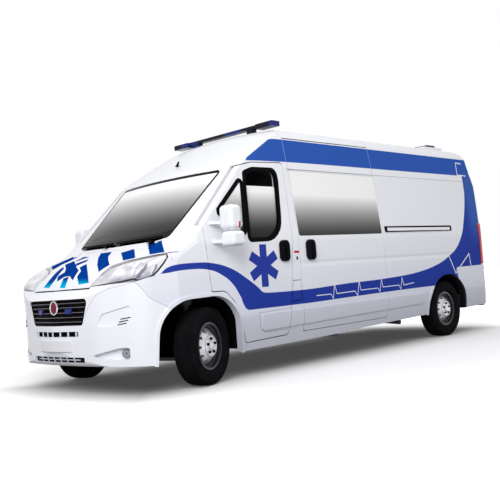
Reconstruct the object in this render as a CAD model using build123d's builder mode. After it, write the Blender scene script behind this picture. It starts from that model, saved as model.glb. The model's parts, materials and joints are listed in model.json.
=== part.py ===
"""A high-roof van ambulance, built panel by panel.

Frame: +X forward, +Y to the vehicle's left, +Z up, ground at Z = 0, millimetres.
Stations along X in the tables are measured from the front axle.
"""
import math
import os
from functools import lru_cache

from build123d import *

os.makedirs("parts", exist_ok=True)

# Overall sizes
wheelbase = 4035
front_overhang = 956
rear_overhang = 975
step_reach = 150
body_half_width = 1024
roof_height = 2430
wall = 60
front_axle_x = (wheelbase + rear_overhang + step_reach - front_overhang) / 2
tail_x = -wheelbase - rear_overhang

# Gaps: round a panel that opens, round a fixed panel, and at a seat
door_gap = 9
panel_gap = 3
seat_gap = 0.3

# Wheels and steering
tyre_radius = 341
tyre_width = 215
rim_radius = 200
rim_width = 152
front_track = 1810
rear_track = 1790
steer_rest = 18
kingpin_inset = 90
strut_inset = 165
spindle_radius = 32
wheel_disc = 12
axle_station = 45
rear_axle_station = axle_station - wheelbase

# Levels
gutter_z = 1960
floor_z = 540
floor_thickness = 60
rail_drop = 90

# Plates that carry the outlines, all starting at the front axle
side = Plane(origin=(front_axle_x, 0, 0), x_dir=(1, 0, 0), z_dir=(0, -1, 0))
plan = Plane(origin=(front_axle_x, 0, 0))
front = Plane(origin=(front_axle_x, 0, 0), x_dir=(0, 1, 0), z_dir=(1, 0, 0))
LEFT = (0, 1, 0)
UP = (0, 0, 1)
AHEAD = (1, 0, 0)

# Body form. Columns: station, height, corner radius
turning_station = -3500
above_roof = roof_height + 70
nose_x = front_overhang + 2
nose_profile = [
    (-1750, 260, 5), (500, 235, 30), (nose_x - 53, 262, 60), (nose_x, 430, 200), (nose_x - 3, 600, 300),
    (nose_x - 33, 835, 60), (nose_x - 96, 938, 120), (700, 1085, 700), (345, 1235, 60), (268, 1275, 60),
    (-442, 1985, 350), (-1120, roof_height - 45, 900), (-1500, above_roof, 5), (-1750, above_roof, 5),
]
tail_profile = [
    (tail_x, 335, 5), (-1450, 262, 5), (-1450, above_roof, 5), (tail_x + 240, above_roof, 5),
    (tail_x + 95, roof_height - 140, 150), (tail_x + 55, 2060, 300), (tail_x, 1860, 400),
]
# Columns: distance from the centre line, height, corner radius
half_section = [
    (-300, 0, 5), (body_half_width - 86, 0, 5), (body_half_width, 560, 200), (body_half_width, 1250, 200),
    (body_half_width - 77, gutter_z, 300), (body_half_width - 132, roof_height - 140, 100),
    (body_half_width - 224, roof_height - 30, 200), (0, roof_height + 1, 2000), (-300, roof_height - 6, 5),
]
# Wing shoulder at the station named below, carried back along a rising line
shoulder_station = 407
shoulder_slope = 0.55
shoulder_end = 100
shoulder_section = [
    (-300, 0, 5), (1100, 0, 5), (1100, 700, 5), (1010, 1140, 60), (930, 1180, 120), (0, 1300, 5), (-300, 1300, 5),
]
# Columns: station, distance from the centre line, corner radius
plan_outline = [
    (tail_x, -300, 5), (nose_x, -300, 5), (nose_x, 0, 900), (nose_x - 78, 560, 700), (700, 930, 300),
    (150, 1075, 300), (-500, 1100, 5), (tail_x + 310, 1100, 5), (tail_x, body_half_width - 14, 150),
]

# Openings seen from the side. Columns: station, height, corner radius
front_door = [
    (-1012, 338, 40), (-440, 322, 25), (-316, 690, 160), (-195, 812, 90), (-34, 812, 25),
    (18, 1478, 50), (-520, 1955, 220), (-720, 2000, 200), (-1162, 2018, 45), (-1142, 1245, 900),
    (-1078, 780, 600),
]
quarter_light = [(-505, 1300, 25), (-200, 1505, 25), (-200, 1535, 25), (-560, 1862, 30)]
door_window = [
    (-985, 1262, 230), (-545, 1255, 30), (-600, 1895, 30), (-720, 1936, 120), (-1040, 1942, 60), (-1050, 1850, 150),
]
slide_door = [(-2692, 352, 30), (-1240, 345, 30), (-1240, 1955, 30), (-2692, 1957, 30)]
slide_glass = [(-2680, 1290, 25), (-1252, 1284, 25), (-1252, 1945, 25), (-2680, 1945, 25)]
front_arch = [
    (-412, 100, 5), (585, 100, 5), (540, 560, 300), (390, 760, 330), (-160, 775, 300), (-340, 615, 320),
]
rear_arch_radius = 432
fuel_flap = [(-1214, 655, 12), (-1084, 655, 12), (-1112, 845, 12), (-1214, 845, 12)]
front_handle = [(-1070, 1040, 50), (-940, 1040, 50), (-940, 1245, 50), (-1070, 1245, 50)]
slide_handle = [(-1465, 1040, 50), (-1335, 1040, 50), (-1335, 1245, 50), (-1465, 1245, 50)]
slide_rail = [(-4204, 1312, 10), (-2742, 1306, 10), (-2742, 1372, 10), (-4204, 1376, 10)]

# Openings seen from the front. Columns: distance from the centre line, height, corner radius
grille_mouth = [(-400, 612, 35), (400, 612, 35), (480, 838, 35), (-480, 838, 35)]
headlamp = [
    (472, 934, 20), (905, 952, 60), (972, 985, 40), (1030, 1150, 25), (960, 1166, 30), (801, 1150, 150),
    (600, 1124, 150), (484, 1090, 40),
]
bonnet_edge = [
    (-60, 922, 5), (460, 926, 20), (474, 1094, 40), (600, 1134, 150), (801, 1160, 150), (1100, 1184, 5),
    (1100, 1500, 5), (-60, 1500, 5),
]
slot_mouth = [(-340, 518, 12), (340, 518, 12), (340, 562, 12), (-340, 562, 12)]
lower_mouth = [(-400, 296, 12), (400, 296, 12), (400, 342, 12), (-400, 342, 12)]
fog_scoop = [(470, 350, 8), (690, 316, 60), (832, 316, 20), (832, 412, 20), (740, 412, 60)]
side_scoop = [(562, 590, 25), (800, 604, 70), (872, 762, 20), (612, 698, 50)]
screen_glass = [
    (-60, 1285, 5), (560, 1296, 200), (712, 1320, 45), (772, 1950, 50), (-60, 1950, 5),
]
rear_door = [(7, 552, 20), (868, 552, 40), (868, 1860, 300), (770, 2338, 80), (7, 2338, 20)]
rear_window = [(110, 1330, 60), (745, 1330, 60), (700, 1900, 60), (110, 1900, 60)]
bonnet_rear = 315

# Where fixed panels meet. Columns: station, height, corner radius
bumper_side = [
    (395, 100, 5), (1150, 100, 5), (1150, 948, 5), (700, 948, 25), (604, 806, 60), (430, 702, 30),
    (395, 660, 5),
]
wing_side = [(-436, 150, 5), (1000, 150, 5), (1000, 1176, 5), (-436, 1176, 5)]
rear_bumper_side = [(tail_x - 100, 200, 5), (tail_x + 590, 200, 5), (tail_x + 770, 842, 40), (tail_x - 100, 846, 5)]
moulding = [(-3440, 448, 20), (-640, 405, 20), (-640, 558, 20), (-3390, 572, 20)]
# Columns: distance from the centre line, height, corner radius
bumper_front = [
    (-60, 100, 5), (1150, 100, 5), (1150, 952, 5), (905, 948, 60), (474, 930, 5), (462, 913, 5), (-60, 913, 5),
]
tail_lamp = [(955, 862, 15), (1100, 862, 5), (1100, 1400, 5), (955, 1400, 30)]
a_pillar_foot = 1176
moulding_proud = 10
side_scoop_depth = 10
fog_scoop_depth = 40
fog_lamp_place = (782, 364)
fog_lamp_radius = 36
flare_width = 26
flare_root = 5
door_recess = wall + 45
bonnet_thickness = 40
glass_thickness = 6
glass_drop = 22

# Hinges: stations, distances from the centre line, heights and sizes
front_hinge_x = -75
front_hinge_depth = 15
front_hinge_heights = (930, 1205)
pin_radius = 6
hinge_height = 40
rear_hinge_y = 905
rear_hinge_reach = 15
rear_hinge_heights = (905, 1400, 1790)
bonnet_hinge_x = 205
bonnet_hinge_z = 1236
bonnet_hinge_y = 600
flap_gap = 8
flap_thickness = 14
flap_hinge_x = -1204
flap_pin_radius = 4
window_lowered = 165

# Door mirrors: a tall upper glass and a low wide one on two arms. Columns: spans along, across and up, rounding
mirror_table = [((-265, -115), (1075, 1240), (1336, 1560), 45), ((-275, -120), (1082, 1250), (1195, 1326), 35)]
mirror_core = ((-240, -140), (1105, 1220), (1300, 1360))
mirror_base = [(-110, 1215, 20), (-30, 1215, 20), (-30, 1330, 30), (-75, 1445, 25), (-110, 1445, 20)]
mirror_arm_run = ((-72, 1000), (-190, 1120))
mirror_arm_width = 34
mirror_arm_heights = ((1232, 1264), (1400, 1428))

# Roof lights. Columns: span along, span across, span up
light_bar_table = [
    ((-1345, -1265), (0, 774), (2458, 2490)), ((-1365, -1245), (540, 774), (2440, 2492)),
    ((-1335, -1275), (380, 470), (roof_height - 120, 2460)), ((-4800, -4350), (0, 640), (roof_height - 120, 2466)),
    ((-4690, -4500), (0, 600), (roof_height - 120, 2500)),
]
# Wipers seen from the front. Columns: blade start, blade end, pivot
wiper_table = [((60, 1322), (640, 1334), (560, 1293)), ((-600, 1330), (-20, 1322), (-90, 1305))]

# Tail
bumper_proud = 10
step_half_width = 915
step_z = (298, 320)
step_bracket = 16
step_riser = (tail_x + 90, tail_x + 150)
tow_socket = (-500, 450)
tow_socket_radius = 10
tow_socket_depth = 40

# Underbody: rails, springs, liners, kingpins and the exhaust run
rail_y = (415, 485)
tower_top = 812
spring_y = (530, 600)
liner_radius = 444
liner_inner_y = 692
liner_foot = 268
jack_station = -1000
jack_pad_length = 90
jack_pad_drop = 8
kingpin_y = front_track / 2 - kingpin_inset
strut_y = front_track / 2 - strut_inset
kingpin_radius = 18
exhaust_radius = 28
exhaust_path = [
    (150, 250, 350), (-250, 520, 325), (-1900, 545, 300), (-2850, 545, 300), (-2980, 700, 285), (-3030, 930, 262),
]

# Wheel details
bead = 191
disc_face = 86
hand_holes = 10
hand_hole_ring = 134
hand_hole_radius = 14

# Cab. Profiles have columns: station, height, corner radius
steering_centre = (-440, 400, 1120)
column_lean = (-0.8, 0, 0.6)
column_pin = 10
steering_radius = 185
dash_profile = [
    (99.7, 850, 20), (99.7, 1175, 30), (-190, 1175, 60), (-270, 1060, 60), (-210, 910, 60), (-120, 850, 20),
]
seat_profile = [
    (-1060, floor_z + seat_gap, 5), (-540, floor_z + seat_gap, 5), (-520, 860, 30), (-560, 930, 30), (-900, 905, 60),
    (-1040, 1490, 40), (-1110, 1490, 30), (-1075, 900, 5),
]
headrest_profile = [(-1108, 1480, 5), (-1042, 1480, 5), (-1045, 1690, 30), (-1110, 1690, 30)]
seat_table = [(430, 480), (-320, 880)]


def pushed_in(table, inset):
    """The same anticlockwise outline with every side moved inwards by inset."""
    sides = []
    for (a, b, _), (c, d, _) in zip(table, table[1:] + table[:1]):
        length = math.hypot(c - a, d - b)
        along = ((c - a) / length, (d - b) / length)
        sides.append((a - along[1] * inset, b + along[0] * inset, along[0], along[1]))
    moved = []
    for row, before, after in zip(table, sides[-1:] + sides[:-1], sides):
        turn = before[2] * after[3] - before[3] * after[2]
        reach = ((after[0] - before[0]) * after[3] - (after[1] - before[1]) * after[2]) / turn
        radius = row[2] - math.copysign(inset, turn)
        moved.append((before[0] + reach * before[2], before[1] + reach * before[3], max(radius, 3)))
    return moved


def outline(plane, table, inset=0):
    """A closed sketch from a table of corners, each with its radius."""
    corners = pushed_in(table, inset) if inset else table
    with BuildSketch(plane) as shape:
        with BuildLine():
            FilletPolyline(
                *[row[:2] for row in corners], radius=[row[2] for row in corners], close=True
            )
        make_face()
    return shape.sketch


@lru_cache(maxsize=None)
def body_form(inset, opened=0):
    """Left half of the body, pushed in by inset and with its underside lowered by opened."""
    nose = [(x, z - opened if z < 300 else z, r) for x, z, r in nose_profile]
    tail = [(x, z - opened if z < 340 else z, r) for x, z, r in tail_profile]
    climb = shoulder_slope * (shoulder_station - shoulder_end)
    raised = [(y, z + climb, r) for y, z, r in shoulder_section]
    with BuildPart() as shoulder:
        extrude(
            outline(front.offset(shoulder_end), raised, inset), amount=1100, dir=(1, 0, -shoulder_slope)
        )
        add(block((-6000, shoulder_end), (-300, 1300), (-300, 2700)))
    with BuildPart() as form:
        revolve(
            outline(side, nose, inset),
            axis=Axis((front_axle_x + turning_station, 0, 0), UP),
            revolution_arc=32,
        )
        extrude(outline(side, tail, inset), amount=1100, dir=LEFT)
        extrude(outline(plan, plan_outline, inset), amount=2700, dir=UP, mode=Mode.INTERSECT)
        extrude(
            outline(front.offset(-5300), half_section, inset), amount=6500, dir=AHEAD, mode=Mode.INTERSECT
        )
        add(shoulder.part, mode=Mode.INTERSECT)
    return form.part


@lru_cache(maxsize=None)
def layer(outer, inner):
    """Left half of a skin that follows the body, between two depths below its surface."""
    with BuildPart() as skin:
        add(body_form(outer))
        add(body_form(inner, 200), mode=Mode.SUBTRACT)
    return skin.part


def side_cut(table, inset=0, depth=wall):
    """A prism through the left wall, to a depth below its skin, from an outline seen from the side."""
    with BuildPart() as prism:
        extrude(outline(side, table, inset), amount=1300, dir=LEFT)
        extrude(
            outline(front.offset(-5300), half_section, depth), amount=6500, dir=AHEAD, mode=Mode.SUBTRACT
        )
    return prism.part


def front_cut(table, start, end, inset=0):
    """A prism between two stations from an outline seen from the front."""
    with BuildPart() as prism:
        extrude(outline(front.offset(start), table, inset), amount=end - start, dir=AHEAD)
    return prism.part


def block(x_span, y_span, z_span):
    """A box between two stations, two distances from the centre line and two heights."""
    middle = [(span[0] + span[1]) / 2 for span in (x_span, y_span, z_span)]
    with BuildPart(plan) as box:
        with Locations(tuple(middle)):
            Box(x_span[1] - x_span[0], y_span[1] - y_span[0], z_span[1] - z_span[0])
    return box.part


def rod(station, height, radius, y_span):
    """A round bar across the vehicle."""
    with BuildPart() as bar:
        with BuildSketch(side.offset(-y_span[0])):
            with Locations((station, height)):
                Circle(radius)
        extrude(amount=y_span[1] - y_span[0], dir=LEFT)
    return bar.part


def front_rod(place, radius, start, end):
    """A round bar along the vehicle between two stations, placed across and up."""
    with BuildPart() as bar:
        with BuildSketch(front.offset(start)):
            with Locations(place):
                Circle(radius)
        extrude(amount=end - start, dir=AHEAD)
    return bar.part


def post(station, y, radius, z_span):
    """A round upright bar."""
    with BuildPart() as bar:
        with BuildSketch(plan.offset(z_span[0])):
            with Locations((station, y)):
                Circle(radius)
        extrude(amount=z_span[1] - z_span[0], dir=UP)
    return bar.part


def save(part, name):
    """Label one finished piece and write it."""
    part.label = name
    export_step(part, f"parts/{name}.step")


def side_prism(table, y_from, inset=0):
    """A prism from a distance off the centre line outwards, from an outline seen from the side."""
    with BuildPart() as prism:
        extrude(outline(side.offset(-y_from), table, inset), amount=1400 - y_from, dir=LEFT)
    return prism.part


@lru_cache(maxsize=None)
def skin_all_round(outer, inner):
    """The same skin on both sides of the centre line."""
    with BuildPart() as skin:
        add(layer(outer, inner))
        mirror(about=Plane.XZ)
    return skin.part


def strip(start, end, width):
    """The outline of a straight band between two points."""
    length = math.hypot(end[0] - start[0], end[1] - start[1])
    across = (-(end[1] - start[1]) / length * width / 2, (end[0] - start[0]) / length * width / 2)
    return [
        (start[0] - across[0], start[1] - across[1], 3), (end[0] - across[0], end[1] - across[1], 3),
        (end[0] + across[0], end[1] + across[1], 3), (start[0] + across[0], start[1] + across[1], 3),
    ]


def turned(profile, y, station=0, height=0):
    """A ring about a cross axis. Profile columns: distance along the axis, radius."""
    with BuildPart() as ring:
        with BuildSketch(Plane(origin=(front_axle_x + station, y, height), x_dir=(0, 1, 0), z_dir=(1, 0, 0))):
            with BuildLine():
                Polyline(*profile, close=True)
            make_face()
        revolve(axis=Axis((front_axle_x + station, y, height), LEFT))
    return ring.part


# Cutters shared by the panels
front_door_hole = side_cut(front_door, -door_gap, door_recess)
slide_door_hole = side_cut(slide_door, -2 * panel_gap, wall + 20)
front_arch_hole = side_prism(front_arch, 560)
bonnet_hole = front_cut(bonnet_edge, bonnet_rear - door_gap, 1100, -door_gap)
headlamp_hole = front_cut(headlamp, 380, 1100, -panel_gap)
rear_door_hole = front_cut(rear_door, tail_x - 100, tail_x + 165, -door_gap)
tail_lamp_hole = front_cut(tail_lamp, tail_x - 100, tail_x + 110, -panel_gap)
screen_hole = front_cut(screen_glass, -800, 500)
arch_height = tyre_radius - 9
with BuildPart() as rear_arch_hole:
    add(rod(rear_axle_station, arch_height, rear_arch_radius, (560, 1400)))
    add(block((rear_axle_station - rear_arch_radius, rear_axle_station + rear_arch_radius), (560, 1400), (0, arch_height)))
with BuildPart() as rear_flare:
    add(layer(-moulding_proud, flare_root))
    add(rod(rear_axle_station, arch_height, rear_arch_radius + flare_width, (900, 1400)), mode=Mode.INTERSECT)
    add(rear_arch_hole.part, mode=Mode.SUBTRACT)
with BuildPart() as front_flare:
    add(layer(-moulding_proud, flare_root))
    add(side_prism(front_arch, 850, -flare_width), mode=Mode.INTERSECT)
    add(front_arch_hole, mode=Mode.SUBTRACT)
with BuildPart() as side_moulding:
    add(body_form(-moulding_proud))
    add(side_cut(moulding, 0, 5), mode=Mode.INTERSECT)

with BuildPart() as roof:
    add(layer(0, wall))
    add(block((-6000, 1500), (-10, 1300), (gutter_z, 2700)), mode=Mode.INTERSECT)
    add(front_door_hole, mode=Mode.SUBTRACT)
    add(rear_door_hole, mode=Mode.SUBTRACT)
    mirror(about=Plane.XZ)
save(roof.part, "roof")

cab_zone = block((-900, 700), (-10, 1300), (a_pillar_foot, gutter_z))
with BuildPart() as cab_frame:
    add(layer(0, wall))
    add(cab_zone, mode=Mode.INTERSECT)
    add(front_door_hole, mode=Mode.SUBTRACT)
    add(screen_hole, mode=Mode.SUBTRACT)
    add(bonnet_hole, mode=Mode.SUBTRACT)
    add(headlamp_hole, mode=Mode.SUBTRACT)
    add(block((100, 700), (-10, 780), (1000, 1320)), mode=Mode.SUBTRACT)
    mirror(about=Plane.XZ)
save(cab_frame.part, "cab_frame")

with BuildPart() as scuttle:
    add(layer(0, 10))
    add(block((100, bonnet_rear - door_gap), (-10, 780 - seat_gap), (1180, 1320)), mode=Mode.INTERSECT)
    add(screen_hole, mode=Mode.SUBTRACT)
    add(block((bonnet_hinge_x - 5, bonnet_rear), (bonnet_hinge_y - 16, bonnet_hinge_y + 16), (1150, 1320)),
        mode=Mode.SUBTRACT)
    mirror(about=Plane.XZ)
save(scuttle.part, "scuttle")

with BuildPart() as front_wings:
    add(layer(0, wall))
    add(side_prism(wing_side, 880), mode=Mode.INTERSECT)
    add(front_flare.part & side_prism(wing_side, 800))
    add(front_door_hole, mode=Mode.SUBTRACT)
    add(front_arch_hole, mode=Mode.SUBTRACT)
    add(side_prism(bumper_side, 0, -panel_gap), mode=Mode.SUBTRACT)
    add(bonnet_hole, mode=Mode.SUBTRACT)
    add(headlamp_hole, mode=Mode.SUBTRACT)
    mirror(about=Plane.XZ)
save(front_wings.part, "front_wings")

with BuildPart() as front_bumper:
    add(layer(0, wall))
    add(front_flare.part)
    add(side_prism(bumper_side, -50), mode=Mode.INTERSECT)
    add(front_cut(bumper_front, 300, 1100), mode=Mode.INTERSECT)
    add(front_arch_hole, mode=Mode.SUBTRACT)
    add(layer(-moulding_proud, side_scoop_depth) & front_cut(side_scoop, 600, 1100), mode=Mode.SUBTRACT)
    add(layer(-moulding_proud, fog_scoop_depth) & front_cut(fog_scoop, 600, 1100), mode=Mode.SUBTRACT)
    add(front_rod(fog_lamp_place, fog_lamp_radius, 500, 1100), mode=Mode.SUBTRACT)
    mirror(about=Plane.XZ)
    add(front_cut(grille_mouth, 700, 1100), mode=Mode.SUBTRACT)
    add(front_cut(slot_mouth, 700, 1100), mode=Mode.SUBTRACT)
    add(front_cut(lower_mouth, 700, 1100), mode=Mode.SUBTRACT)
save(front_bumper.part, "front_bumper")

with BuildPart() as grilles:
    for mouth, bars in ((grille_mouth, 6), (slot_mouth, 1), (lower_mouth, 2)):
        low = mouth[0][1]
        pitch = (mouth[2][1] - low) / bars
        ribs = skin_all_round(14, 44) & front_cut(mouth, 700, 1100, seat_gap)
        for row in range(bars):
            slit = block((600, 1100), (-700, 700), (low + row * pitch + 10, low + (row + 1) * pitch - 10))
            ribs = ribs - (skin_all_round(0, 32) & slit & front_cut(mouth, 700, 1100, 14))
        add(ribs)
save(grilles.part, "grilles")

with BuildPart() as front_lamps:
    add(layer(3, bonnet_thickness) & front_cut(headlamp, 385, 1100))
    add(layer(glass_drop, bonnet_thickness) & front_cut(headlamp, 385, 1100, seat_gap - panel_gap))
    add(layer(glass_drop, wall) & front_rod(fog_lamp_place, fog_lamp_radius - seat_gap, 500, 1100))
    mirror(about=Plane.XZ)
save(front_lamps.part, "front_lamps")

with BuildPart() as windscreen:
    add(layer(3, 3 + glass_thickness))
    add(front_cut(screen_glass, -800, 500, seat_gap), mode=Mode.INTERSECT)
    mirror(about=Plane.XZ)
save(windscreen.part, "windscreen")

with BuildPart() as bonnet:
    add(layer(0, bonnet_thickness))
    add(front_cut(bonnet_edge, bonnet_rear, 1100), mode=Mode.INTERSECT)
    with BuildSketch(side.offset(-bonnet_hinge_y)):
        with Locations((bonnet_hinge_x, bonnet_hinge_z)):
            Circle(pin_radius + 9)
        with BuildLine():
            Polyline(
                (bonnet_hinge_x, bonnet_hinge_z + 12), (bonnet_hinge_x - 8, bonnet_hinge_z - 12),
                (bonnet_rear + 40, bonnet_hinge_z - 72), (bonnet_rear + 60, bonnet_hinge_z - 40), close=True
            )
        make_face()
    extrude(amount=10, both=True)
    add(rod(bonnet_hinge_x, bonnet_hinge_z, pin_radius + seat_gap, (bonnet_hinge_y - 30, bonnet_hinge_y + 30)),
        mode=Mode.SUBTRACT)
    mirror(about=Plane.XZ)
save(bonnet.part, "bonnet")


def body_side(with_slide_door):
    """One body side from the rear of the cab to the tail, on the left."""
    with BuildPart() as panel:
        add(layer(0, wall))
        add(block((-6000, -436), (-10, 1300), (0, gutter_z)), mode=Mode.INTERSECT)
        add(cab_zone, mode=Mode.SUBTRACT)
        add(rear_flare.part)
        add(side_moulding.part)
        add(front_door_hole, mode=Mode.SUBTRACT)
        add(rear_door_hole, mode=Mode.SUBTRACT)
        add(rear_arch_hole.part, mode=Mode.SUBTRACT)
        add(side_prism(rear_bumper_side, -10, -panel_gap), mode=Mode.SUBTRACT)
        add(tail_lamp_hole, mode=Mode.SUBTRACT)
        if with_slide_door:
            add(slide_door_hole, mode=Mode.SUBTRACT)
            add(side_cut(fuel_flap, -flap_gap, 40), mode=Mode.SUBTRACT)
            add(post(flap_hinge_x, body_half_width - 8, flap_pin_radius, (645, 855)))
        else:
            add(side_cut(slide_glass, 60, wall + 20), mode=Mode.SUBTRACT)
            add(side_cut(slide_glass, -seat_gap, 3 + glass_thickness + seat_gap), mode=Mode.SUBTRACT)
    return panel.part


with BuildPart() as body_side_left:
    add(body_side(True))
save(body_side_left.part, "body_side_left")

with BuildPart() as body_side_right:
    mirror(body_side(False), about=Plane.XZ)
save(body_side_right.part, "body_side_right")

with BuildPart() as slide_door_left:
    add(body_form(0))
    add(side_cut(slide_door), mode=Mode.INTERSECT)
    add(side_moulding.part & side_cut(slide_door))
    add(side_cut(slide_glass, 60, wall + 20), mode=Mode.SUBTRACT)
    add(side_cut(slide_glass, -seat_gap, 3 + glass_thickness + seat_gap), mode=Mode.SUBTRACT)
save(slide_door_left.part, "slide_door_left")

with BuildPart() as side_windows:
    add(body_form(3))
    add(side_cut(slide_glass, 0, 3 + glass_thickness), mode=Mode.INTERSECT)
    mirror(about=Plane.XZ)
save(side_windows.part, "side_windows")

with BuildPart() as slide_door_fittings:
    add(body_form(-bumper_proud) & side_cut(slide_rail, 0, -seat_gap))
    add(body_form(-24) & side_cut(slide_handle, 0, -seat_gap))
save(slide_door_fittings.part, "slide_door_fittings")

with BuildPart() as flap:
    add(body_form(0))
    add(side_cut(fuel_flap, 0, flap_thickness), mode=Mode.INTERSECT)
    add(post(flap_hinge_x, body_half_width - 8, flap_pin_radius + seat_gap, (600, 900)), mode=Mode.SUBTRACT)
save(flap.part, "fuel_flap")

hinge_y = body_half_width - front_hinge_depth
with BuildPart() as front_door_panel:
    add(body_form(0))
    add(side_cut(front_door), mode=Mode.INTERSECT)
    add(side_moulding.part & side_cut(front_door))
    add(side_cut(quarter_light, 0, wall + 10), mode=Mode.SUBTRACT)
    add(side_cut(door_window, 0, wall + 10), mode=Mode.SUBTRACT)
    for height in front_hinge_heights:
        pocket = (height - hinge_height / 2 - 6, height + hinge_height / 2 + 6)
        add(block((front_hinge_x - 28, front_hinge_x + 120), (hinge_y - 90, hinge_y + 9), pocket), mode=Mode.SUBTRACT)
        add(post(front_hinge_x, hinge_y, pin_radius + seat_gap, (height - 45, height + 45)), mode=Mode.SUBTRACT)
with BuildPart() as front_door_left:
    add(front_door_panel.part)
save(front_door_left.part, "front_door_left")
with BuildPart() as front_door_right:
    mirror(front_door_panel.part, about=Plane.XZ)
save(front_door_right.part, "front_door_right")

with BuildPart() as quarter_glass:
    add(body_form(3))
    add(side_cut(quarter_light, seat_gap, 3 + glass_thickness), mode=Mode.INTERSECT)
with BuildPart() as drop_glass:
    add(body_form(glass_drop))
    add(side_cut(door_window, seat_gap, glass_drop + glass_thickness), mode=Mode.INTERSECT)
with BuildPart() as front_glass_left:
    add(quarter_glass.part)
    add(drop_glass.part - block((-1500, 0), (0, 1300), (1940 - window_lowered, 2100)))
save(front_glass_left.part, "front_glass_left")
with BuildPart() as front_glass_right:
    mirror(quarter_glass.part, about=Plane.XZ)
    mirror(drop_glass.part, about=Plane.XZ)
save(front_glass_right.part, "front_glass_right")



def rounded_block(x_span, y_span, z_span, radius):
    """A box with all its edges rounded."""
    with BuildPart() as box:
        add(block(x_span, y_span, z_span))
        fillet(box.edges(), radius)
    return box.part


with BuildPart() as door_fittings:
    for x_span, y_span, z_span, radius in mirror_table:
        add(rounded_block(x_span, y_span, z_span, radius))
    add(block(*mirror_core))
    for low, high in mirror_arm_heights:
        extrude(outline(plan.offset(low), strip(*mirror_arm_run, mirror_arm_width)), amount=high - low, dir=UP)
    add(body_form(-moulding_proud) & side_cut(mirror_base, 0, -seat_gap))
    add(body_form(-seat_gap), mode=Mode.SUBTRACT)
    add(body_form(-24) & side_cut(front_handle, 0, -seat_gap))
with BuildPart() as front_fittings_left:
    add(door_fittings.part)
save(front_fittings_left.part, "front_fittings_left")
with BuildPart() as front_fittings_right:
    mirror(door_fittings.part, about=Plane.XZ)
save(front_fittings_right.part, "front_fittings_right")

rear_axis_x = tail_x - rear_hinge_reach
with BuildPart() as rear_door_panel:
    add(layer(0, wall))
    add(front_cut(rear_door, tail_x - 100, tail_x + 165), mode=Mode.INTERSECT)
    add(front_cut(rear_window, tail_x - 100, tail_x + 300), mode=Mode.SUBTRACT)
    for height in rear_hinge_heights:
        add(block((rear_axis_x - 7, rear_axis_x + 7), (840, rear_hinge_y), (height, height + 30)))
        add(block((rear_axis_x - 7, tail_x + 3), (835, 862), (height, height + 30)))
        add(post(rear_axis_x, rear_hinge_y, pin_radius + 5, (height, height + 30)))
        add(post(rear_axis_x, rear_hinge_y, pin_radius + seat_gap, (height - 5, height + 35)), mode=Mode.SUBTRACT)
with BuildPart() as rear_door_left:
    add(rear_door_panel.part)
save(rear_door_left.part, "rear_door_left")
with BuildPart() as rear_door_right:
    mirror(rear_door_panel.part, about=Plane.XZ)
save(rear_door_right.part, "rear_door_right")
with BuildPart() as rear_pane:
    add(layer(3, 3 + glass_thickness))
    add(front_cut(rear_window, tail_x - 100, tail_x + 300, seat_gap), mode=Mode.INTERSECT)
with BuildPart() as rear_glass_left:
    add(rear_pane.part)
save(rear_glass_left.part, "rear_glass_left")
with BuildPart() as rear_glass_right:
    mirror(rear_pane.part, about=Plane.XZ)
save(rear_glass_right.part, "rear_glass_right")

with BuildPart() as hinges:
    for height in front_hinge_heights:
        band = (height - hinge_height / 2, height + hinge_height / 2)
        add(block((front_hinge_x - 7, front_hinge_x + 7), (hinge_y - 88, hinge_y), band))
        add(block((front_hinge_x - 7, front_hinge_x + 150), (hinge_y - 88, hinge_y - 72), band))
        add(block((front_hinge_x + 110, front_hinge_x + 150), (hinge_y - 74, body_half_width - wall), band))
        add(post(front_hinge_x, hinge_y, pin_radius, (height - 38, height + 38)))
    for height in rear_hinge_heights:
        band = (height - 36, height - 6)
        rear_bracket = block((rear_axis_x - 7, tail_x + 12), (rear_hinge_y, rear_hinge_y + 42), band)
        add(rear_bracket - body_form(0))
        add(post(rear_axis_x, rear_hinge_y, pin_radius + 5, band))
        add(post(rear_axis_x, rear_hinge_y, pin_radius, (height - 36, height + 30)))
    for inner_y in (bonnet_hinge_y - 26, bonnet_hinge_y + 16):
        cheek = block((bonnet_hinge_x - 10, bonnet_hinge_x + 10), (inner_y, inner_y + 10), (bonnet_hinge_z - 10, 1330))
        add(cheek & body_form(10 + seat_gap))
    add(rod(bonnet_hinge_x, bonnet_hinge_z, pin_radius, (bonnet_hinge_y - 26, bonnet_hinge_y + 26)))
    mirror(about=Plane.XZ)
save(hinges.part, "hinges")

with BuildPart() as rear_bumper:
    add(body_form(-bumper_proud))
    add(side_prism(rear_bumper_side, -10), mode=Mode.INTERSECT)
    add(body_form(wall, 200), mode=Mode.SUBTRACT)
    add(rear_door_hole, mode=Mode.SUBTRACT)
    add(rear_arch_hole.part, mode=Mode.SUBTRACT)
    mirror(about=Plane.XZ)
    with BuildSketch(front.offset(tail_x - bumper_proud)):
        with Locations(tow_socket):
            Circle(tow_socket_radius)
    extrude(amount=tow_socket_depth, dir=AHEAD, mode=Mode.SUBTRACT)
save(rear_bumper.part, "rear_bumper")

rail_foot = floor_z - floor_thickness - rail_drop
with BuildPart() as rear_step:
    add(block((tail_x - step_reach, tail_x - bumper_proud - seat_gap), (-step_half_width, step_half_width), step_z))
    fillet(rear_step.edges().filter_by(Axis.Z).sort_by(Axis.X)[:2], 60)
    for across in (rail_y, (-rail_y[1], -rail_y[0])):
        add(block((tail_x - bumper_proud - 5, step_riser[1]), across, (step_z[0], step_z[0] + step_bracket)))
        add(block(step_riser, across, (step_z[0], rail_foot - seat_gap)))
save(rear_step.part, "rear_step")

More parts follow.
